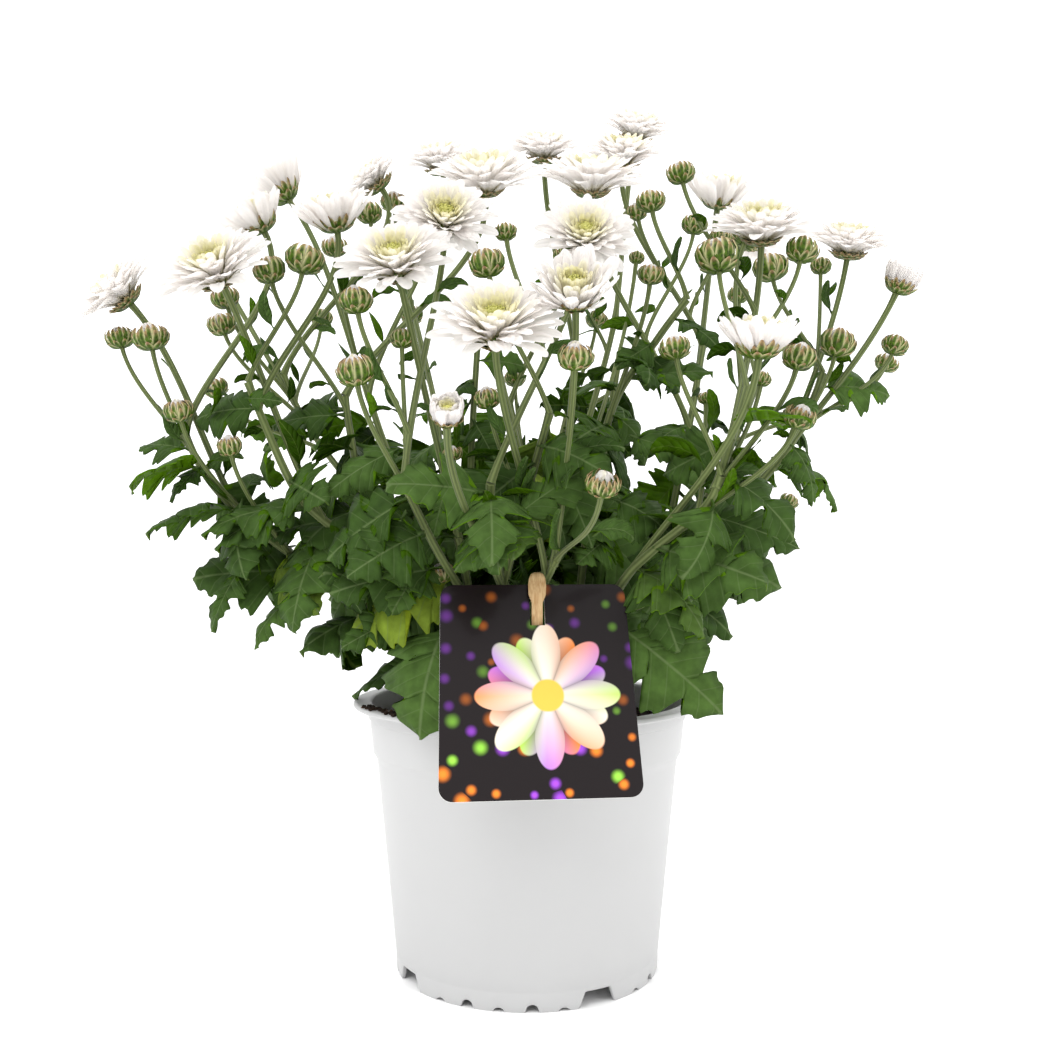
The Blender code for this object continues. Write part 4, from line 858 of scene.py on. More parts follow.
def leaf_shape(name, outline, fold, droop, twist, materials, rows=2):
    """A lobed leaf of unit length along X, its face up. The outline is length, half width and vein.

    It leaves its stalk at the start angle and droops from there.
    """
    outline = rounded(outline)
    verts, along, across, faces = [], [], [], []
    spread = LEAF_WIDTH_SHARE / 2
    start = 0.25
    for hand in (1, -1):
        lines = []
        for x, reach, vein in outline:
            root = max(min(x, x - 0.26 * reach), 0.12 if x > 0.12 else x)
            line = []
            for j in range(rows + 1):
                share = j / rows
                length = root + (x - root) * share
                side = reach * spread * share
                quilt = 0.020 * (1 - vein) * math.sin(math.pi * share) - 0.05 * vein * share * share
                ripple = 0.034 * math.sin(11 * length + 2 * hand + 9 * twist) * share
                lift = quilt + ripple + fold * side - 1.1 * side * side
                angle = start - droop * length
                turn = twist * length
                out = hand * side * math.cos(turn) - lift * math.sin(turn) * hand
                rise = lift * math.cos(turn) + hand * side * math.sin(turn)
                bend = droop if abs(droop) > 0.01 else 0.01
                forward = (math.sin(start) - math.sin(angle)) / bend
                up = (math.cos(angle) - math.cos(start)) / bend
                line.append(len(verts))
                verts.append((forward - rise * math.sin(angle), out, up + rise * math.cos(angle)))
                along.append(length)
                across.append(hand * side)
            lines.append(line)
        for low, high in zip(lines, lines[1:]):
            for j in range(rows):
                face = (low[j], high[j], high[j + 1], low[j + 1])
                faces.append(face[::-1] if hand == 1 else face)
    mesh = mesh_of(name, verts, faces, along=along, across=across)
    weld = bmesh.new()
    weld.from_mesh(mesh)
    bmesh.ops.remove_doubles(weld, verts=weld.verts, dist=0.0008)
    bmesh.ops.dissolve_degenerate(weld, edges=weld.edges, dist=0.0002)
    weld.to_mesh(mesh)
    weld.free()
    mesh.shade_smooth()
    for material in materials:
        mesh.materials.append(material)
    thing = link(bpy.data.objects.new(name, mesh))
    wall = thing.modifiers.new("blade", "SOLIDIFY")
    wall.thickness = 0.010
    wall.offset = 0.0
    wall.material_offset = 1
    solid = evaluated(thing)
    bpy.data.objects.remove(thing)
    reverse = solid.attributes.new("reverse", "BOOLEAN", "FACE")
    for i, face in enumerate(solid.polygons):
        reverse.data[i].value = face.material_index == 1
    return bpy.data.objects.new(name, solid)


LOBED = (
    (0.0, 0.05, 0), (0.14, 0.05, 0), (0.18, 0.18, 0.2), (0.195, 0.62, 0.7), (0.25, 0.88, 1.0),
    (0.285, 0.74, 0.6), (0.335, 1.04, 1.0), (0.365, 0.70, 0.4), (0.385, 0.28, 0.0), (0.46, 0.26, 0.1),
    (0.475, 0.82, 0.7), (0.535, 1.18, 1.0), (0.565, 0.94, 0.6), (0.62, 1.02, 1.0), (0.64, 0.56, 0.3),
    (0.66, 0.20, 0.0), (0.73, 0.24, 0.2), (0.765, 0.68, 1.0), (0.80, 0.50, 0.5), (0.865, 0.56, 1.0),
    (0.90, 0.28, 0.5), (0.965, 0.26, 0.9), (1.0, 0.0, 1.0))
BROAD = (
    (0.0, 0.05, 0), (0.10, 0.06, 0), (0.13, 0.52, 0.6), (0.20, 0.88, 1.0), (0.25, 0.76, 0.5),
    (0.31, 1.08, 1.0), (0.35, 0.80, 0.4), (0.39, 0.40, 0.1), (0.45, 0.84, 0.7), (0.52, 1.14, 1.0),
    (0.57, 0.90, 0.5), (0.63, 0.96, 1.0), (0.665, 0.56, 0.3), (0.70, 0.28, 0.1), (0.765, 0.68, 1.0),
    (0.81, 0.48, 0.5), (0.875, 0.50, 1.0), (0.92, 0.24, 0.5), (1.0, 0.0, 1.0))
THREE_LOBED = (
    (0.0, 0.06, 0), (0.16, 0.06, 0), (0.26, 0.20, 0.2), (0.30, 0.62, 0.7), (0.38, 1.0, 1.0),
    (0.42, 0.86, 0.6), (0.475, 1.06, 1.0), (0.50, 0.62, 0.3), (0.52, 0.30, 0.0), (0.60, 0.34, 0.2),
    (0.66, 0.76, 1.0), (0.71, 0.56, 0.5), (0.79, 0.62, 1.0), (0.83, 0.34, 0.5), (0.93, 0.26, 0.9),
    (1.0, 0.0, 1.0))
LANCE = (
    (0.0, 0.10, 0), (0.12, 0.20, 0), (0.30, 0.72, 0.3), (0.52, 1.0, 1.0), (0.74, 0.66, 0.6),
    (1.0, 0.0, 1.0))
# Leaf kinds: outline, fold, droop and twist.
LEAF_KINDS = (
    (LOBED, 0.25, 0.7, 0.2), (LOBED, 0.05, 1.3, -0.3), (BROAD, 0.12, 0.8, 0.1), (LOBED, 0.45, 0.3, -0.2),
    (THREE_LOBED, 0.35, 0.6, 0.4), (THREE_LOBED, 0.05, 1.4, 0.2), (LANCE, 0.50, 1.4, 0.9),
    (LANCE, 0.4, -1.1, -0.8))
LEAF_LANCES = (6, 7)


def crumb_shape(name, draw):
    """A rough lump of 20 faces and unit radius."""
    bm = bmesh.new()
    bmesh.ops.create_icosphere(bm, subdivisions=1, radius=1.0)
    for vert in bm.verts:
        vert.co *= draw.uniform(0.55, 1.15)
        vert.co.z *= 0.75
    mesh = bpy.data.meshes.new(name)
    bm.to_mesh(mesh)
    bm.free()
    return bpy.data.objects.new(name, mesh)


def collection_of(name, things):
    """A collection of shapes, in the order in which their kinds are numbered."""
    group = bpy.data.collections.new(name)
    for thing in things:
        group.objects.link(thing)
    return group


# Routes, worked out as the solids' are


def bloom_axis(name):
    """The direction that a bloom faces."""
    lean, azimuth = BLOOMS[name][4:]
    up = Vector((0, 0, 1))
    return Matrix.Rotation(math.radians(lean), 4, up.cross(ahead(azimuth))) @ up


def bloom_seat(name):
    """Where the bloom sits on its green cup."""
    x, y, z, width = BLOOMS[name][:4]
    centre = HALF_OPEN_CENTRE if name in HALF_OPEN else OPEN_CENTRE
    return at((x, y, z)) - bloom_axis(name) * centre * width * MM / 2


def smooth_route(points, count):
    """Points read evenly from a smooth curve through the given ones."""
    points = [Vector(p) for p in points]
    ends = [2 * points[0] - points[1]] + points + [2 * points[-1] - points[-2]]
    route = []
    spans = len(points) - 1
    for k in range(count):
        place = spans * k / (count - 1)
        i = min(int(place), spans - 1)
        t = place - i
        a, b, c, d = ends[i:i + 4]
        route.append(0.5 * (2 * b + (c - a) * t + (2 * a - 5 * b + 4 * c - d) * t * t
                            + (3 * b - a - 3 * c + d) * t ** 3))
    return route


def join_point(routes, head, length):
    """The place on the routes where a stalk of about this length and a steep rise leaves for the head."""
    best = None
    for route in routes:
        for low, high in zip(route, route[1:]):
            for share in (0.0, 0.25, 0.5, 0.75):
                place = low.lerp(high, share)
                rise = head - place
                if rise.z < LEAST_RISE * MM or place.z < LOWEST_FORK * MM:
                    continue
                slope = math.degrees(math.asin(rise.z / rise.length))
                cost = abs(slope - STALK_SLOPE) + 0.5 * abs(rise.length / MM - length)
                if best is None or cost < best[0]:
                    best = (cost, place, (high - low).normalized())
    return best[1], best[2]


def stalk_route(start, leaving, head, axis, count, pull, handle):
    """A stalk that leaves along its parent, as far as it is pulled, and arrives along the head's axis."""
    length = (head - start).length
    out = start + (pull * leaving + (head - start).normalized()).normalized() * handle * length
    into = head - axis * 0.30 * length
    route = []
    for i in range(count):
        t = i / (count - 1)
        s = 1 - t
        route.append(s ** 3 * start + 3 * s * s * t * out + 3 * s * t * t * into + t ** 3 * head)
    return route


def turned_to(axis):
    """The shortest turn from upright to an axis."""
    return Vector((0, 0, 1)).rotation_difference(axis).to_matrix().to_4x4()


def nearest_on(routes, point):
    """The nearest place to a point on the routes."""
    best = None
    for route in routes:
        for low, high in zip(route, route[1:]):
            run = high - low
            share = max(0.0, min(1.0, (point - low).dot(run) / run.length_squared))
            place = low + run * share
            if best is None or (place - point).length < best[0]:
                best = ((place - point).length, place)
    return best[1]


def nearest_step(routes, point):
    """The number of the route that passes nearest to a point, and the step along it."""
    return min(((place - point).length, number, step) for number, route in enumerate(routes)
               for step, place in enumerate(route))[1:]


def shown_stalk(fine, start, head, axis, count):
    """A stalk that forks from the fine routes. Gives its route with its parent's number and step."""
    number, step = nearest_step(fine, start)
    parent = fine[number]
    leaving = (parent[min(step + 1, len(parent) - 1)] - parent[max(step - 1, 0)]).normalized()
    return stalk_route(parent[step], leaving, head, axis, count, 0.25, 0.30), number, step


def leaf_frame(base, tip):
    """The side and face directions of a leaf, whose face looks up and outwards."""
    along = (tip - base).normalized()
    outward = Vector((base.x, base.y, 0)).normalized()
    face = Vector((0, 0, 0.75)) + 0.75 * outward
    side = along.cross(face).normalized()
    return side, side.cross(along).normalized()


def leaf_points(base, tip, width, arch, draw):
    """The places of a solid leaf's corners, which decide where it fits."""
    side, face = leaf_frame(base, tip)
    length = (tip - base).length

    def spine(share):
        """A place on the arched midrib."""
        return base.lerp(tip, share) + face * arch * length * 4 * share * (1 - share)

    places = []
    for hand in (-1, 1):
        for share, reach in LEAF_OUTLINE:
            out = reach * width / 2 * draw.uniform(0.88, 1.0)
            wave = face * (0.10 * out if reach > 0.5 else 0.22 * out)
            places.append(spine(share) + side * hand * out + wave)
    half = face * LEAF_THICKNESS * MM / 2
    return places + [tip] + [spine(share) + half * way for share in LEAF_MIDRIB for way in (1, -1)]


def keeps_clear(points, wedge=None):
    """Whether all points lie in the wedge, and clear of the pot, the soil and the card."""
    low, high = (ahead(azimuth) for azimuth in wedge or (0, 0))
    for point in points:
        x, y, z = point / MM
        if wedge and min(low.x * y - low.y * x, x * high.y - y * high.x) < WEDGE_MARGIN:
            return False
        reach = math.hypot(x, y)
        lowest = CLEAR_OF_RIM if reach > 50 else CLEAR_OF_SOIL
        if z < lowest and reach < POT_FLANGE_RADIUS + 2:
            return False
        half, front, back, top = CARD_SPACE
        if abs(x) < half and front < y < back and z < top:
            return False
    return True


def place_leaf(base, tip, width, arch, wedge, draw):
    """A leaf's base, tip and width, turned about its base little by little until it keeps clear."""
    state = draw.getstate()
    for step in range(34):
        turn = 6 * ((step + 1) // 2) * (1 if step % 2 else -1)
        swung = base + Matrix.Rotation(math.radians(turn), 3, "Z") @ (tip - base)
        draw.setstate(state)
        if keeps_clear(leaf_points(base, swung, width * MM, arch, draw), wedge):
            return base, swung, width
    return None


def fill_leaves(routes, wedge, draw):
    """Leaves up each route, turned by the golden angle from one to the next."""
    middle = (wedge[0] + wedge[1]) / 2
    lowest, highest, span = 96, 205, 110
    leaves = []
    for route in routes:
        heading = draw.uniform(-60, 60)
        travelled = 0.0
        for low, high in zip(route, route[1:]):
            travelled += (high - low).length / MM
            if travelled < LEAF_SPACING or low.z / MM < lowest or low.z / MM > highest:
                continue
            travelled = 0.0
            heading = (heading + GOLDEN_DEGREES + 90) % 180 - 90
            share = (low.z / MM - lowest) / span
            length = (43 - 17 * share) * draw.uniform(0.85, 1.1)
            out = ahead(middle + heading * 0.8)
            tip = low + (out + Vector((0, 0, 0.45 * share - 0.45))).normalized() * length * MM
            leaves.append(place_leaf(low, tip, LEAF_WIDTH_SHARE * length, 0.06, wedge, draw))
    return leaves


def more_leaves(routes, draw):
    """Leaves between the solid ones, which only keep clear of the pot, the soil and the card.

    The crown is a dome, so they end lower farther out. None hangs over the left of the rim.
    """
    lowest, span = 94, 102
    leaves = []
    for route in routes:
        fine = smooth_route(route, 60)
        travelled = draw.uniform(0, 8)
        heading = draw.uniform(0, 360)
        for low, high in zip(fine, fine[1:]):
            travelled += (high - low).length / MM
            reach = math.hypot(low.x, low.y) / MM
            highest = 226 if reach < 56 else 200 if reach < 72 else 186
            spacing = 6 if reach < 72 else 11
            if travelled < spacing or not lowest < low.z / MM < highest:
                continue
            travelled = 0.0
            heading += GOLDEN_DEGREES
            share = (low.z / MM - lowest) / span
            length = (46 - 22 * share) * draw.uniform(0.8, 1.15)
            away = Vector((low.x, low.y, 0)).normalized()
            out = (ahead(heading) + 0.35 * away).normalized()
            tip = low + (out + Vector((0, 0, draw.uniform(-1.1, 0.15)))).normalized() * length * MM
            width = 0.74 * length
            side = leaf_frame(low, tip)[0] * width / 2 * MM
            middle = low.lerp(tip, 0.45)
            over_rim = tip.x < -0.038 and tip.y < -0.02 and tip.z < 0.114
            if keeps_clear([tip, middle, middle + side, middle - side]) and not over_rim:
                leaves.append((low, tip, width))
    return leaves


def lance_leaves(routes, draw):
    """Two narrow leaves on each upper stalk."""
    lances = []
    for route in routes:
        for share in (draw.uniform(0.12, 0.30), draw.uniform(0.4, 0.75)):
            i = int(share * (len(route) - 1))
            base, run = route[i], (route[i + 1] - route[i]).normalized()
            out = ahead(draw.uniform(0, 360))
            length = draw.uniform(8, 17) if base.z > 0.17 else draw.uniform(14, 24)
            tip = base + (run * 0.7 + out).normalized() * length * MM
            if keeps_clear([tip]):
                lances.append((base, tip, draw.uniform(0.13, 0.22) * length))
    return lances


def leaf_turn(base, tip, forward, roll):
    """A leaf's turn: its face looks up and outwards, and as far forward as asked."""
    along = (tip - base).normalized()
    outward = Vector((base.x + tip.x, base.y + tip.y, 0)).normalized()
    face = Vector((0, 0, 0.5)) + 0.75 * outward + Vector((0, -forward, 0))
    side = along.cross(face).normalized()
    turn = Matrix((along, -side, side.cross(along))).transposed()
    return (turn @ Matrix.Rotation(roll, 3, "X")).to_euler()


def plan_stem(name):
    """All the routes, leaves, buds and cups of a stem, worked out as the solid's are.

    The fine routes are the ones that show: the trunk and sides first, then the stalks. Each trunk or side is
    cut off where its last stalk leaves it.
    """
    plan = STEMS[name]
    trunk = [at(point) for point in plan["trunk"]]
    foot = trunk[0]
    routes = [smooth_route(trunk, len(trunk) + 2)]
    fine = [smooth_route([Vector((foot.x, foot.y, 0.070))] + trunk, 8 * len(trunk))]
    reached = [0] * (1 + len(plan["sides"]))
    for side in plan["sides"]:
        points = [nearest_on(routes, at(side[0]))] + [at(point) for point in side[1:]]
        routes.append(smooth_route(points, len(side) + 1))
        number, step = nearest_step(fine, points[0])
        fine.append(smooth_route([fine[number][step]] + points[1:], 8 * len(side)))
        reached[0] = max(reached[0], nearest_step(fine[:1], fine[-1][0])[1])
    mains = len(fine)
    main_routes = list(routes)
    thick = [TRUNK_RADII] + [SIDE_RADII] * (mains - 1)

    def fork(parents, start, head, axis, count, ends):
        """Adds a stalk, whose end is hidden in its cup or bud."""
        route, number, step = shown_stalk(parents, start, head, axis, count)
        if number < mains:
            reached[number] = max(reached[number], step)
        fine.append(route)
        thick.append(ends)

    cups = []
    for head in plan["blooms"]:
        seat, axis = bloom_seat(head), bloom_axis(head)
        start, leaving = join_point(main_routes, seat, BLOOM_STALK_LENGTH)
        routes.append(stalk_route(start, leaving, seat - axis * CUP_DEPTH * MM, axis, 5, 1.0, 0.33))
        fork(fine[:mains], start, seat - axis * 3 * MM, axis, 24, BLOOM_STALK_RADII)
        cups.append((head, seat, axis))
    stalks = list(fine)
    buds = []
    for x, y, z, width in plan["buds"] + SMALL_BUDS.get(name, []):
        middle = at((x, y, z))
        start, leaving = join_point(routes, middle, BUD_STALK_LENGTH)
        axis = (Vector((0, 0, 1.3)) + (middle - start).normalized()).normalized()
        fork(stalks, start, middle - axis * 0.38 * width * MM, axis, 18, BUD_STALK_RADII)
        buds.append((middle, axis, width))
    ends = [step or len(route) - 1 for step, route in zip(reached, fine)]
    shown = [route[:end + 1] for route, end in zip(fine, ends)]
    draw, extra = random.Random(name), random.Random(name + " more")
    leaves = [place_leaf(nearest_on(routes, at(base)), at(tip), width, 0.05, plan["wedge"], draw)
              for base, tip, width in plan["big_leaves"]]
    if name in FRONT_LEAVES:
        leaves = leaves[:1] if name == "stem_left" else []
    leaves += fill_leaves(main_routes, plan["wedge"], draw) + more_leaves(shown, extra)
    grown_from = []
    for leaf in leaves:
        number, step = nearest_step(fine[:mains], leaf[0]) if leaf else (0, len(fine[0]))
        if step <= ends[number]:
            grown_from.append((fine[number][step], *leaf[1:]))
    return {"tubes": [(route, *sizes) for route, sizes in zip(shown + fine[mains:], thick)], "cups": cups,
            "buds": buds, "leaves": grown_from, "lances": lance_leaves(fine[mains:], extra)}


def copies_mesh(made, shapes, material, reverse, copies):
    """The mesh of placed copies. Each is a place, a turn, a size, a kind and a shade."""
    points = mesh_of("points", [tuple(c[0]) for c in copies], [], shade=[c[4] for c in copies])
    for key, column in (("turn", 1), ("size", 2)):
        flat = [number for c in copies for number in c[column]]
        points.attributes.new(key, "FLOAT_VECTOR", "POINT").data.foreach_set("vector", flat)
    points.attributes.new("kind", "INT", "POINT").data.foreach_set("value", [c[3] for c in copies])
    finishes = made["materials"]
    return grown(made["copies"], points, {
        "Shapes": made[shapes], "Material": finishes[material], "Reverse": finishes[reverse]})


# Operators


KIT = {}


def kit():
    """The trees, materials and repeated shapes that the operators share, made once."""
    if KIT:
        return KIT
    settings = bpy.context.scene.chrysanthemum
    KIT["materials"] = make_materials(settings)
    KIT["whorl"] = make_whorl_tree()
    KIT["copies"] = make_copies_tree()
    KIT["stalks"] = make_stalk_tree()
    KIT["crumbs"] = make_crumb_tree()
    KIT["petal"] = strap("petal_shape", PETAL_ROWS, PETAL_TIP, (0.0, 0.05, 0.5, 0.05, 0.0))
    KIT["quill"] = strap("quill_shape", QUILL_ROWS, QUILL_TIP, (0.0, 0.2, 0.0))
    KIT["scale"] = strap("scale_shape", SCALE_ROWS, SCALE_TIP, (0.0, 0.5, 0.0))
    KIT["tube"] = strap("tube_shape", TUBE_ROWS, TUBE_TIP, (0.0, 0.3, 0.0))
    sides = [KIT["materials"][name] for name in ("leaf_upper_side", "leaf_underside")]
    KIT["leaf shapes"] = collection_of("leaf_shapes", [
        leaf_shape(f"leaf_{i}", *numbers, sides) for i, numbers in enumerate(LEAF_KINDS)])
    draw = random.Random(5)
    KIT["crumb shapes"] = collection_of("crumb_shapes", [crumb_shape(f"crumb_{i}", draw) for i in range(4)])
    KIT["bud shapes"] = collection_of("bud_shapes", [
        bpy.data.objects.new(f"bud_{i}", bud_mesh(KIT, i)) for i in range(3)])
    KIT["cup shapes"] = collection_of("cup_shapes", [
        bpy.data.objects.new(f"cup_{i}", cup_mesh(KIT, i)) for i in range(2)])
    KIT["stems"] = {name: plan_stem(name) for name in STEMS}
    return KIT


def bract_ring(made, count, seed, cup, thickness, spreads, sizes):
    """An even ring of bracts that are alike, by the numbers that a whorl takes in pairs."""
    pairs = {key: (size, size) for key, size in zip(WHORL_KEYS[-6:], sizes)}
    return whorl(made, "scale", "bract", count, turn_step=2 * math.pi / count, cup=cup, thickness=thickness,
                 seed=seed, **dict(zip(WHORL_KEYS[3:7], spreads)), **pairs)


def bud_mesh(made, kind):
    """A closed bud of 1 m width: bracts that close round like a ball, and a tuft of folded petals at its
    crown.
    """
    rows = ((14, 158 if kind < 2 else 140, 0.94, 230), (11, 112, 0.98, 250), (8, 62, 1.02, 250))
    meshes = []
    for i, (count, reach, size, wide) in enumerate(rows):
        arc = math.radians(reach - (8 if kind == 1 else 0) + 6)
        meshes.append(bract_ring(made, count, kind * 7 + i, 0.34, 40, (0.05, 3, 5, 0.12), (
            60, -395 - 20 * i, 440 * size * arc, wide, -6, reach)))
    meshes.append(whorl(made, "quill", "white petal", 9, cup=0.3, thickness=40, seed=kind + 40,
                        length_spread=0.06, tilt_spread=4, start_radius=(180, 260), start_height=(120, 0),
                        length=(420, 560), width=(150, 210), base_tilt=(80, 62), tip_tilt=(150, 172)))
    mesh = joined(meshes)
    crown = mesh.materials.find("white_ray_petal")
    reverse = mesh.attributes.new("reverse", "BOOLEAN", "FACE")
    reverse.data.foreach_set("value", [face.material_index == crown for face in mesh.polygons])
    return mesh


def cup_mesh(made, kind):
    """The cup of bracts under a bloom, for a seat of 1 m radius. Kind 1 hugs a half open bloom."""
    meshes = []
    for i, (count, length, wide) in enumerate(((15, 1.0, 0.80), (13, 0.84, 0.80), (10, 0.62, 0.85))):
        meshes.append(bract_ring(made, count, kind * 5 + i + 3, 0.35, 70, (0.06, 3, 4, 0.08), (
            190, (-560, -500)[kind] - 45 * i, (1120, 1420)[kind] * length, 560 * wide, 0,
            (46, 78)[kind] * length)))
    return joined(meshes)


# Points round the pot.
POT_STEPS = 360
# The foot's ring: where it starts, how high it stands, and the radius on which its openings are measured.
FOOT_INNER_RADIUS = 43.5
FOOT_HEIGHT = 5.45
FOOT_RADIUS = 44.3
FOOT_NOTCH_AZIMUTHS = (30, 120, 210, 300)
# A notch: its height, the half width at its foot, and how far its sides lean.
NOTCH_HEIGHT = 5.2
NOTCH_HALF_WIDTH = 6.6
NOTCH_LEAN = 2.0
# Arches between two notches: degrees from the notch, half width and height.
FOOT_ARCHES = ((22, 1.7, 1.1), (35, 2.3, 2.5), (48.5, 1.9, 1.3), (62, 2.3, 2.5), (75, 1.7, 1.1))


def pot_foot_lift(azimuth):
    """How high the foot's edge stands off the ground, for its notches and arches."""
    lift = 0.0
    for notch in FOOT_NOTCH_AZIMUTHS:
        off = abs((azimuth - notch + 180) % 360 - 180) * math.radians(1) * FOOT_RADIUS
        lift = max(lift, min(NOTCH_HEIGHT, NOTCH_HEIGHT * (NOTCH_HALF_WIDTH - off) / NOTCH_LEAN))
        for step, half, rise in FOOT_ARCHES:
            off = abs((azimuth - notch - step + 180) % 360 - 180) * math.radians(1) * FOOT_RADIUS
            if off < half:
                lift = max(lift, rise * math.sqrt(1 - (off / half) ** 2))
    return lift


# The pot's section from the middle of its floor, over the rim and round the foot: radius and height.
POT_PROFILE = (
    (0.0, 6.8), (30.0, 6.8), (43.4, 6.8), (44.0, 7.4), (50.5, 72.0), (53.6, 90.6), (53.75, 91.4),
    (54.2, 91.9), (54.8, 92.0), (58.8, 92.0), (59.5, 91.8), (59.9, 91.3), (60.0, 90.8), (59.7, 90.3),
    (59.2, 90.15), (55.6, 90.4), (55.1, 90.1), (55.0, 89.5), (54.95, 86.9), (54.8, 86.3), (54.3, 86.0),
    (53.25, 75.2), (53.1, 74.5), (52.7, 73.9), (51.95, 72.3), (51.75, 71.4), (48.4, 38.0), (45.75, 11.0),
    (45.35, 6.6), (45.2, 6.2), (45.28, 5.8), (45.1, 2.0), (45.0, 0.4), (44.8, 0.0), (44.0, 0.0),
    (43.8, 0.4), (43.8, 5.0), (43.4, 5.5), (30.0, 5.5), (0.0, 5.5))


# The soil: rings and points in a ring, and the radii of its top and of its hidden foot.
SOIL_RINGS = 26
SOIL_STEPS = 96
SOIL_RADIUS = 52.4
SOIL_FOOT_RADIUS = 49.6


def drop_outer_crumbs(mesh):
    """Deletes each crumb that reaches into the pot's wall or hangs under the soil's edge."""
    trimmed = bmesh.new()
    trimmed.from_mesh(mesh)
    outer = [v for v in trimmed.verts if v.co.z < 0.081 or math.hypot(v.co.x, v.co.y) > 0.0527]
    reached, todo = set(outer), list(outer)
    while todo:
        for edge in todo.pop().link_edges:
            for vert in edge.verts:
                if vert not in reached:
                    reached.add(vert)
                    todo.append(vert)
    bmesh.ops.delete(trimmed, geom=list(reached), context="VERTS")
    trimmed.to_mesh(mesh)
    trimmed.free()


# The card: its middle, and its corners across and up from there.
CARD_MIDDLE = (3.0, -60.6, 103.0)
CARD_CORNERS = ((-30.0, -32.5), (30.0, -32.5), (28.5, 32.5), (-28.5, 32.5))
CARD_CORNER_RADIUS = 4.0
CARD_THICKNESS = 0.8
PICK_X = 3.0
# The slot's middle height, and half its width and length.
SLOT_HEIGHT = 125.4
SLOT_HALF_WIDTH = 2.3
SLOT_HALF_LENGTH = 4.25


def card_turn():
    """The card's turn, leaning back and a little to one side."""
    return Matrix.Rotation(math.radians(7), 4, "Z") @ Matrix.Rotation(math.radians(-20), 4, "X")


def card_y(x, height):
    """The depth of the card's middle plane at a place across and a height, in millimetres."""
    normal = card_turn() @ Vector((0, -1, 0))
    across, up = x - CARD_MIDDLE[0], height - CARD_MIDDLE[2]
    return CARD_MIDDLE[1] - (normal.x * across + normal.z * up) / normal.y


class ChrysanthemumSettings(bpy.types.PropertyGroup):
    """Sizes and colours that a user may change before building."""
    florets: IntProperty(name="Ray florets", description="Long petals in an open bloom",
                         default=88, min=20, max=160)
    petal_width: FloatProperty(name="Petal width", description="Width of an outer petal on a 40 mm bloom",
                               default=0.0039, min=0.001, max=0.008, unit="LENGTH")
    rib_depth: FloatProperty(name="Rib depth", description="Height of a stalk's ribs by its radius",
                             default=0.11, min=0.0, max=0.5, subtype="FACTOR")
    crumb_density: FloatProperty(name="Crumb density", description="Peat crumbs on a square metre of soil",
                                 default=160000.0, min=0.0)
    petal_colour: FloatVectorProperty(name="Petal colour", description="Colour of the outer petals",
                                      subtype="COLOR", default=linear("#fffdfb")[:3])
    leaf_colour: FloatVectorProperty(name="Leaf colour", description="Colour of a full grown leaf",
                                     subtype="COLOR", default=linear("#264202")[:3])
    pot_colour: FloatVectorProperty(name="Pot colour", description="Colour of the pot's plastic",
                                    subtype="COLOR", default=linear("#b6b6b6")[:3])


class CHRYSANTHEMUM_OT_pot(bpy.types.Operator):
    """Builds the moulded pot with its flange, its collar, a plain floor and the openings round its foot"""
    bl_idname = "chrysanthemum.pot"
    bl_label = "Pot"

    def execute(self, context):
        verts, faces, rings = [], [], []
        for radius, height in POT_PROFILE:
            rings.append((len(verts), int(radius > 0)))
            for i in range(POT_STEPS if radius else 1):
                azimuth = 360 * i / POT_STEPS
                z = height
                if radius > FOOT_INNER_RADIUS and height < FOOT_HEIGHT:
                    lift = pot_foot_lift(azimuth)
                    z = lift + height * (FOOT_HEIGHT - lift) / FOOT_HEIGHT
                verts.append(tuple(ahead(azimuth) * radius * MM + Vector((0, 0, z * MM))))
        for low, high in zip(rings, rings[1:]):
            faces += band(low, high, POT_STEPS)
        mesh = mesh_of("pot_shell", verts, faces, [kit()["materials"]["pot"]])
        mesh.shade_smooth()
        mesh.set_sharp_from_angle(angle=math.radians(40))
        keep("pot_shell", mesh, "pot", "pot")
        return {"FINISHED"}


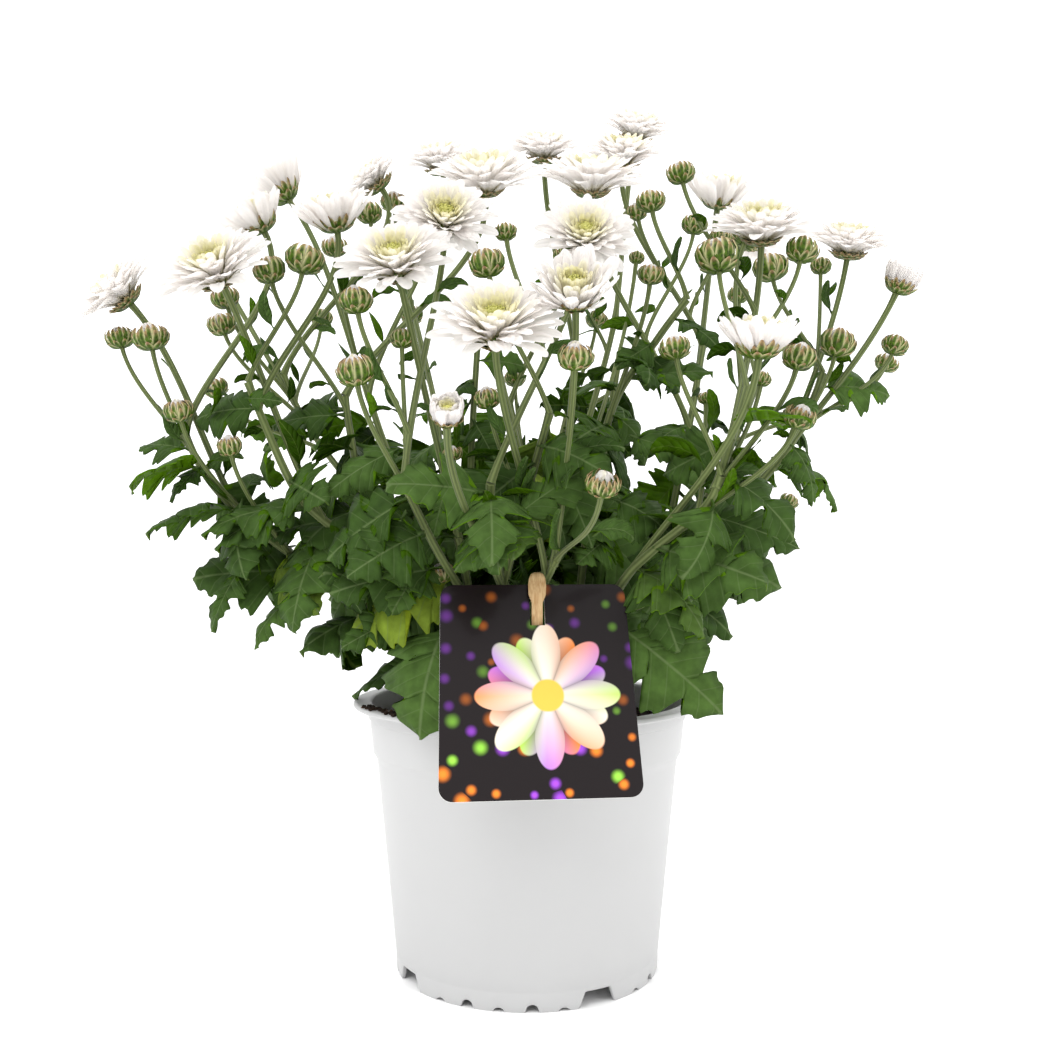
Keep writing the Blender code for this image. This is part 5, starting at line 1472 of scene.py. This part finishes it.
class CHRYSANTHEMUM_OT_soil(bpy.types.Operator):
    """Builds the heaped peat and its crumbs"""
    bl_idname = "chrysanthemum.soil"
    bl_label = "Peat"

    def execute(self, context):
        made = kit()
        settings = context.scene.chrysanthemum
        draw = random.Random(11)
        verts = [(0.0, 0.0, 0.0868)]
        for r in range(1, SOIL_RINGS + 1):
            share = r / SOIL_RINGS
            for i in range(SOIL_STEPS):
                height = 84 + 3 * (1 - share) ** 1.2 - 1.0 * share + draw.uniform(-0.5, 0.5) * (share < 1)
                verts.append(tuple(ahead(360 * i / SOIL_STEPS) * SOIL_RADIUS * share * MM
                                   + Vector((0, 0, height * MM))))
        foot = len(verts)
        for i in range(SOIL_STEPS):
            verts.append(tuple(ahead(360 * i / SOIL_STEPS) * SOIL_FOOT_RADIUS * MM + Vector((0, 0, 0.070))))
        rings = [(0, 0)] + [(first, 1) for first in range(1, foot + 1, SOIL_STEPS)]
        faces = [face for low, high in zip(rings, rings[1:]) for face in band(low, high, SOIL_STEPS)]
        faces.append(tuple(range(foot, foot + SOIL_STEPS))[::-1])
        mesh = mesh_of("peat_bed", verts, faces, [made["materials"]["peat"]])
        mesh.shade_smooth()
        bed = keep("peat_bed", mesh, "soil", "soil")
        crumbs = grown(made["crumbs"], bed.data.copy(), {
            "Shapes": made["crumb shapes"], "Density": settings.crumb_density, "Smallest": 0.0004,
            "Largest": 0.0015, "Seed": 3, "Material": made["materials"]["peat"]})
        drop_outer_crumbs(crumbs)
        keep("peat_crumbs", crumbs, "soil", "soil")
        spill = []
        for i in range(90):
            azimuth, reach = draw.uniform(-68, -42), draw.uniform(54.5, 59.4)
            size = draw.uniform(0.0003, 0.0010)
            place = ahead(azimuth) * reach * MM + Vector((0, 0, 0.0923))
            spill.append((place, (0, 0, azimuth), (size, size, size), i % 4, 0.5))
        keep("peat_on_rim", copies_mesh(made, "crumb shapes", "peat", "peat", spill), "soil", "soil")
        return {"FINISHED"}


class CHRYSANTHEMUM_OT_card(bpy.types.Operator):
    """Builds the printed card with its round corners and slot"""
    bl_idname = "chrysanthemum.card"
    bl_label = "Card"

    def execute(self, context):
        made = kit()
        outline = []
        for i, (x, z) in enumerate(CARD_CORNERS):
            cx, cz = x - math.copysign(CARD_CORNER_RADIUS, x), z - math.copysign(CARD_CORNER_RADIUS, z)
            for k in range(11):
                angle = math.pi * (1 + i / 2) + math.pi / 2 * k / 10
                outline.append((cx + CARD_CORNER_RADIUS * math.cos(angle),
                                cz + CARD_CORNER_RADIUS * math.sin(angle)))
        middle = (PICK_X, card_y(PICK_X, SLOT_HEIGHT), SLOT_HEIGHT)
        hole = card_turn().inverted() @ Vector([a - b for a, b in zip(middle, CARD_MIDDLE)])
        slot = [(hole.x + SLOT_HALF_WIDTH * sx, hole.z + SLOT_HALF_LENGTH * sz)
                for sx, sz in ((-1, -1), (1, -1), (1, 1), (-1, 1))]
        curve = bpy.data.curves.new("card_outline", "CURVE")
        curve.dimensions = "2D"
        curve.fill_mode = "BOTH"
        curve.extrude = CARD_THICKNESS / 2 * MM
        for ring in (outline, slot):
            spline = curve.splines.new("POLY")
            spline.points.add(len(ring) - 1)
            spline.use_cyclic_u = True
            for point, (x, z) in zip(spline.points, ring):
                point.co = (x * MM, z * MM, 0, 1)
        drawn = link(bpy.data.objects.new("card_outline", curve))
        mesh = evaluated(drawn)
        bpy.data.objects.remove(drawn)
        weld = bmesh.new()
        weld.from_mesh(mesh)
        bmesh.ops.remove_doubles(weld, verts=weld.verts, dist=0.01 * MM)
        weld.to_mesh(mesh)
        weld.free()
        mesh.materials.clear()
        mesh.materials.append(made["materials"]["print"])
        mesh.materials.append(made["materials"]["board"])
        for face in mesh.polygons:
            face.material_index = 0 if face.normal.z > 0.5 else 1
            face.use_smooth = False
        place = mesh.attributes.new("card_place", "FLOAT_VECTOR", "POINT")
        place.data.foreach_set("vector", [n / MM for v in mesh.vertices for n in (v.co.x, v.co.y, 0.0)])
        upright = Matrix.Rotation(math.pi / 2, 4, "X")
        mesh.transform(Matrix.Translation(at(CARD_MIDDLE)) @ card_turn() @ upright)
        keep("printed_card", mesh, "card", "label_card")
        return {"FINISHED"}


class CHRYSANTHEMUM_OT_pick(bpy.types.Operator):
    """Builds the wooden pick that holds the card"""
    bl_idname = "chrysanthemum.pick"
    bl_label = "Pick"

    def execute(self, context):
        depth = card_y(PICK_X, SLOT_HEIGHT)
        behind, front = depth + 1.0, depth - 0.6
        # Sections from the foot in the soil to the round top: depth, height and half width.
        sections = ((-42.0, 70.0, 1.6), (-42.5, 84.0, 2.5), (behind, 118.5, 2.5), (behind - 0.2, 121.0, 1.7),
                    (front, 128.4, 1.7), (front - 0.05, 129.6, 2.2), (front - 0.1, 130.8, 2.65),
                    (front + 0.6, 133.6, 2.75), (front + 1.2, 135.8, 2.5), (front + 1.5, 137.0, 1.9),
                    (front + 1.6, 137.5, 0.9))
        bm = bmesh.new()
        loops = []
        for depth, height, wide in sections:
            deep = 0.8 if height < 137.3 else 0.45
            ring = [(-1, -0.6), (-0.8, -1), (0.8, -1), (1, -0.6), (1, 0.6), (0.8, 1), (-0.8, 1), (-1, 0.6)]
            loops.append([bm.verts.new(at((PICK_X + sx * wide, depth + sy * deep, height)))
                          for sx, sy in ring])
        for low, high in zip(loops, loops[1:]):
            for i in range(8):
                bm.faces.new((low[i], low[(i + 1) % 8], high[(i + 1) % 8], high[i]))
        bm.faces.new(loops[0][::-1])
        bm.faces.new(loops[-1])
        mesh = bpy.data.meshes.new("wooden_pick")
        bm.to_mesh(mesh)
        bm.free()
        mesh.shade_smooth()
        mesh.set_sharp_from_angle(angle=math.radians(50))
        mesh.materials.append(kit()["materials"]["wood"])
        keep("wooden_pick", mesh, "pick", "label_pick")
        return {"FINISHED"}


class CHRYSANTHEMUM_OT_stalks(bpy.types.Operator):
    """Builds the ribbed stalks of every stem"""
    bl_idname = "chrysanthemum.stalks"
    bl_label = "Stalks"

    def execute(self, context):
        made = kit()
        for name, stem in made["stems"].items():
            verts, edges, thick = [], [], []
            for route, first, last in stem["tubes"]:
                start = len(verts)
                for i, point in enumerate(route):
                    # A stalk swells where it forks and a little under its head.
                    share = i / (len(route) - 1)
                    swell = 0.35 * max(0.0, 1 - i / 1.5) + 0.18 * max(0.0, 1 - (len(route) - 1 - i) / 1.5)
                    verts.append(tuple(point))
                    thick.append((first + (last - first) * share) * (1 + swell) * MM)
                edges += [(start + i, start + i + 1) for i in range(len(route) - 1)]
            lines = bpy.data.meshes.new("routes")
            lines.from_pydata(verts, edges, [])
            lines.attributes.new("thick", "FLOAT", "POINT").data.foreach_set("value", thick)
            mesh = grown(made["stalks"], lines, {
                "Sides": 12, "Rib Depth": context.scene.chrysanthemum.rib_depth,
                "Material": made["materials"]["stalk"]})
            mesh.shade_smooth()
            keep(name + "_stalks", mesh, "stem", name)
        return {"FINISHED"}


class CHRYSANTHEMUM_OT_leaves(bpy.types.Operator):
    """Builds the lobed leaves and the narrow leaves of every stem"""
    bl_idname = "chrysanthemum.leaves"
    bl_label = "Leaves"

    def execute(self, context):
        made = kit()
        for name, stem in made["stems"].items():
            draw = random.Random(name + " leaves")
            copies = []
            for base, tip, width in stem["leaves"]:
                length = (tip - base).length
                wide = width * MM / LEAF_WIDTH_SHARE
                kind = draw.choice((0, 1, 2, 3, 4, 5) if length > 0.026 else (4, 5))
                turn = leaf_turn(base, tip, 0.5 if base.y < 0.02 else 0.0, draw.uniform(-0.3, 0.3))
                sizes = (length, wide, (length + wide) / 2)
                copies.append((base, turn, sizes, kind, draw.random() ** 1.6))
            for base, tip, width, kind in FRONT_LEAVES.get(name, ()):
                base, tip = at(base), at(tip)
                length = (tip - base).length
                wide = width * MM / LEAF_WIDTH_SHARE
                turn = leaf_turn(base, tip, 1.2, draw.uniform(-0.2, 0.2))
                sizes = (length, wide, (length + wide) / 2)
                copies.append((base, turn, sizes, kind, draw.uniform(0.15, 0.85)))
            for base, tip, width in stem["lances"]:
                side, face = leaf_frame(base, tip)
                length = (tip - base).length
                turn = Matrix((tip - base, -side, face)).transposed().normalized().to_euler()
                sizes = (length, width * MM / LEAF_WIDTH_SHARE, length)
                copies.append((base, turn, sizes, draw.choice(LEAF_LANCES), draw.uniform(0.0, 0.7)))
            mesh = copies_mesh(made, "leaf shapes", "leaf_upper_side", "leaf_underside", copies)
            keep(name + "_leaves", mesh, "stem", name)
        return {"FINISHED"}


class CHRYSANTHEMUM_OT_buds(bpy.types.Operator):
    """Builds the closed buds of every stem"""
    bl_idname = "chrysanthemum.buds"
    bl_label = "Buds"

    def execute(self, context):
        made = kit()
        for name, stem in made["stems"].items():
            draw = random.Random(name + " buds")
            copies = []
            for middle, axis, width in stem["buds"]:
                turn = (turned_to(axis) @ Matrix.Rotation(draw.uniform(0, 6.28), 4, "Z")).to_euler()
                size = width * MM
                sizes = (size, size, size * draw.uniform(0.84, 0.95))
                copies.append((middle, turn, sizes, draw.randrange(3), 0.5))
            mesh = copies_mesh(made, "bud shapes", "bract", "white petal", copies)
            keep(name + "_buds", mesh, "stem", name)
        return {"FINISHED"}


class CHRYSANTHEMUM_OT_cups(bpy.types.Operator):
    """Builds the green cups under the blooms"""
    bl_idname = "chrysanthemum.cups"
    bl_label = "Cups"

    def execute(self, context):
        made = kit()
        for name, stem in made["stems"].items():
            copies = []
            for head, seat, axis in stem["cups"]:
                half = head in HALF_OPEN
                width = BLOOMS[head][3]
                radius = min(SEAT_RADIUS, 0.27 * width) * MM
                copies.append((seat, turned_to(axis).to_euler(), (radius,) * 3, int(half), 0.5))
            keep(name + "_cups", copies_mesh(made, "cup shapes", "bract", "bract", copies), "stem", name)
        return {"FINISHED"}


class CHRYSANTHEMUM_OT_blooms(bpy.types.Operator):
    """Builds every bloom from its ray florets and its eye"""
    bl_idname = "chrysanthemum.blooms"
    bl_label = "Blooms"

    def execute(self, context):
        made = kit()
        settings = context.scene.chrysanthemum
        for number, name in enumerate(BLOOMS):
            width = BLOOMS[name][3]
            radius = width / 2
            half = name in HALF_OPEN
            petal = 1.7 + 0.15 * radius if half else settings.petal_width / MM * (width / 40) ** 0.6
            meshes = []
            for i, (shape, material, count, *numbers) in enumerate(HALF_OPEN_WHORLS if half else OPEN_WHORLS):
                sizes = dict(zip(WHORL_KEYS, numbers))
                for key in ("start_radius", "start_height", "length"):
                    sizes[key] = tuple(radius * share for share in sizes[key])
                if shape != "tube":
                    sizes["width"] = tuple(petal * share for share in sizes["width"])
                if shape == "petal":
                    count = int(settings.florets * count)
                if shape == "petal" and width < CLOSED_WIDTH:
                    sizes["tip_tilt"] = CLOSED_TIP_TILT
                meshes.append(whorl(made, shape, material, count, seed=number + 50 * i, **sizes))
            mesh = joined(meshes)
            mesh.transform(Matrix.Translation(bloom_seat(name)) @ turned_to(bloom_axis(name)))
            keep(name + "_florets", mesh, "bloom", name)
        return {"FINISHED"}


class CHRYSANTHEMUM_OT_stage(bpy.types.Operator):
    """Sets the pale floor, the soft lamps and the camera"""
    bl_idname = "chrysanthemum.stage"
    bl_label = "Stage"

    def execute(self, context):
        scene = context.scene
        steps, radius = 96, 8.0
        verts = [(0.0, 0.0, 0.0)] + [tuple(ahead(360 * i / steps) * radius) for i in range(steps)]
        mesh = mesh_of("floor_sweep", verts, band((0, 0), (1, 1), steps), [mottled_finish("floor")])
        mesh.shade_smooth()
        link(bpy.data.objects.new("floor_sweep", mesh))
        world = bpy.data.worlds.new("studio")
        world.use_nodes = True
        sky = world.node_tree
        side = add(sky, "ShaderNodeSeparateXYZ", {0: add(sky, "ShaderNodeTexCoord")})
        plug(sky, sky.nodes["Background"], {"Color": (1.0, 1.0, 1.0, 1.0), "Strength": add(
            sky, "ShaderNodeMapRange", {"Value": side.outputs[1], "From Min": -1.0, "From Max": 0.1,
                                        "To Min": 1.05, "To Max": 1.55})})
        scene.world = world
        for name, place, size, power in (
                ("key", (-0.7, -0.9, 1.4), 0.9, 9.5), ("fill", (1.1, -0.6, 0.9), 0.9, 2.8),
                ("top", (0.0, -0.2, 1.6), 1.2, 5)):
            lamp = bpy.data.lights.new(name, "AREA")
            lamp.energy = power
            lamp.size = size
            holder = link(bpy.data.objects.new(name, lamp))
            holder.location = place
            holder.rotation_euler = (Vector((0, 0, 0.18)) - Vector(place)).to_track_quat("-Z", "Y").to_euler()
        # A lens and place that match the photograph.
        camera = bpy.data.cameras.new("photo_view")
        camera.lens = 41.3
        camera.sensor_width = 36.0
        eye = link(bpy.data.objects.new("photo_view", camera))
        eye.location = (-0.0007, -0.420, 0.152)
        eye.rotation_euler = (math.pi / 2, 0, 0)
        scene.camera = eye
        scene.view_settings.view_transform = "Standard"
        return {"FINISHED"}


class CHRYSANTHEMUM_PT_panel(bpy.types.Panel):
    """Lists the settings and the building steps"""
    bl_idname = "CHRYSANTHEMUM_PT_panel"
    bl_label = "Pot Chrysanthemum"
    bl_space_type = "VIEW_3D"
    bl_region_type = "UI"
    bl_category = "Chrysanthemum"

    def draw(self, context):
        for key in ChrysanthemumSettings.__annotations__:
            self.layout.prop(context.scene.chrysanthemum, key)
        for operator in OPERATORS:
            self.layout.operator(operator.bl_idname)


OPERATORS = (CHRYSANTHEMUM_OT_stage, CHRYSANTHEMUM_OT_pot, CHRYSANTHEMUM_OT_soil, CHRYSANTHEMUM_OT_card,
             CHRYSANTHEMUM_OT_pick, CHRYSANTHEMUM_OT_stalks, CHRYSANTHEMUM_OT_leaves, CHRYSANTHEMUM_OT_buds,
             CHRYSANTHEMUM_OT_cups, CHRYSANTHEMUM_OT_blooms)
CLASSES = (ChrysanthemumSettings,) + OPERATORS + (CHRYSANTHEMUM_PT_panel,)


def register():
    for item in CLASSES:
        bpy.utils.register_class(item)
    bpy.types.Scene.chrysanthemum = PointerProperty(type=ChrysanthemumSettings)


def unregister():
    del bpy.types.Scene.chrysanthemum
    for item in reversed(CLASSES):
        bpy.utils.unregister_class(item)


def main():
    register()
    for operator in OPERATORS:
        getattr(bpy.ops.chrysanthemum, operator.bl_idname.split(".")[1])()


if __name__ == "__main__":
    main()
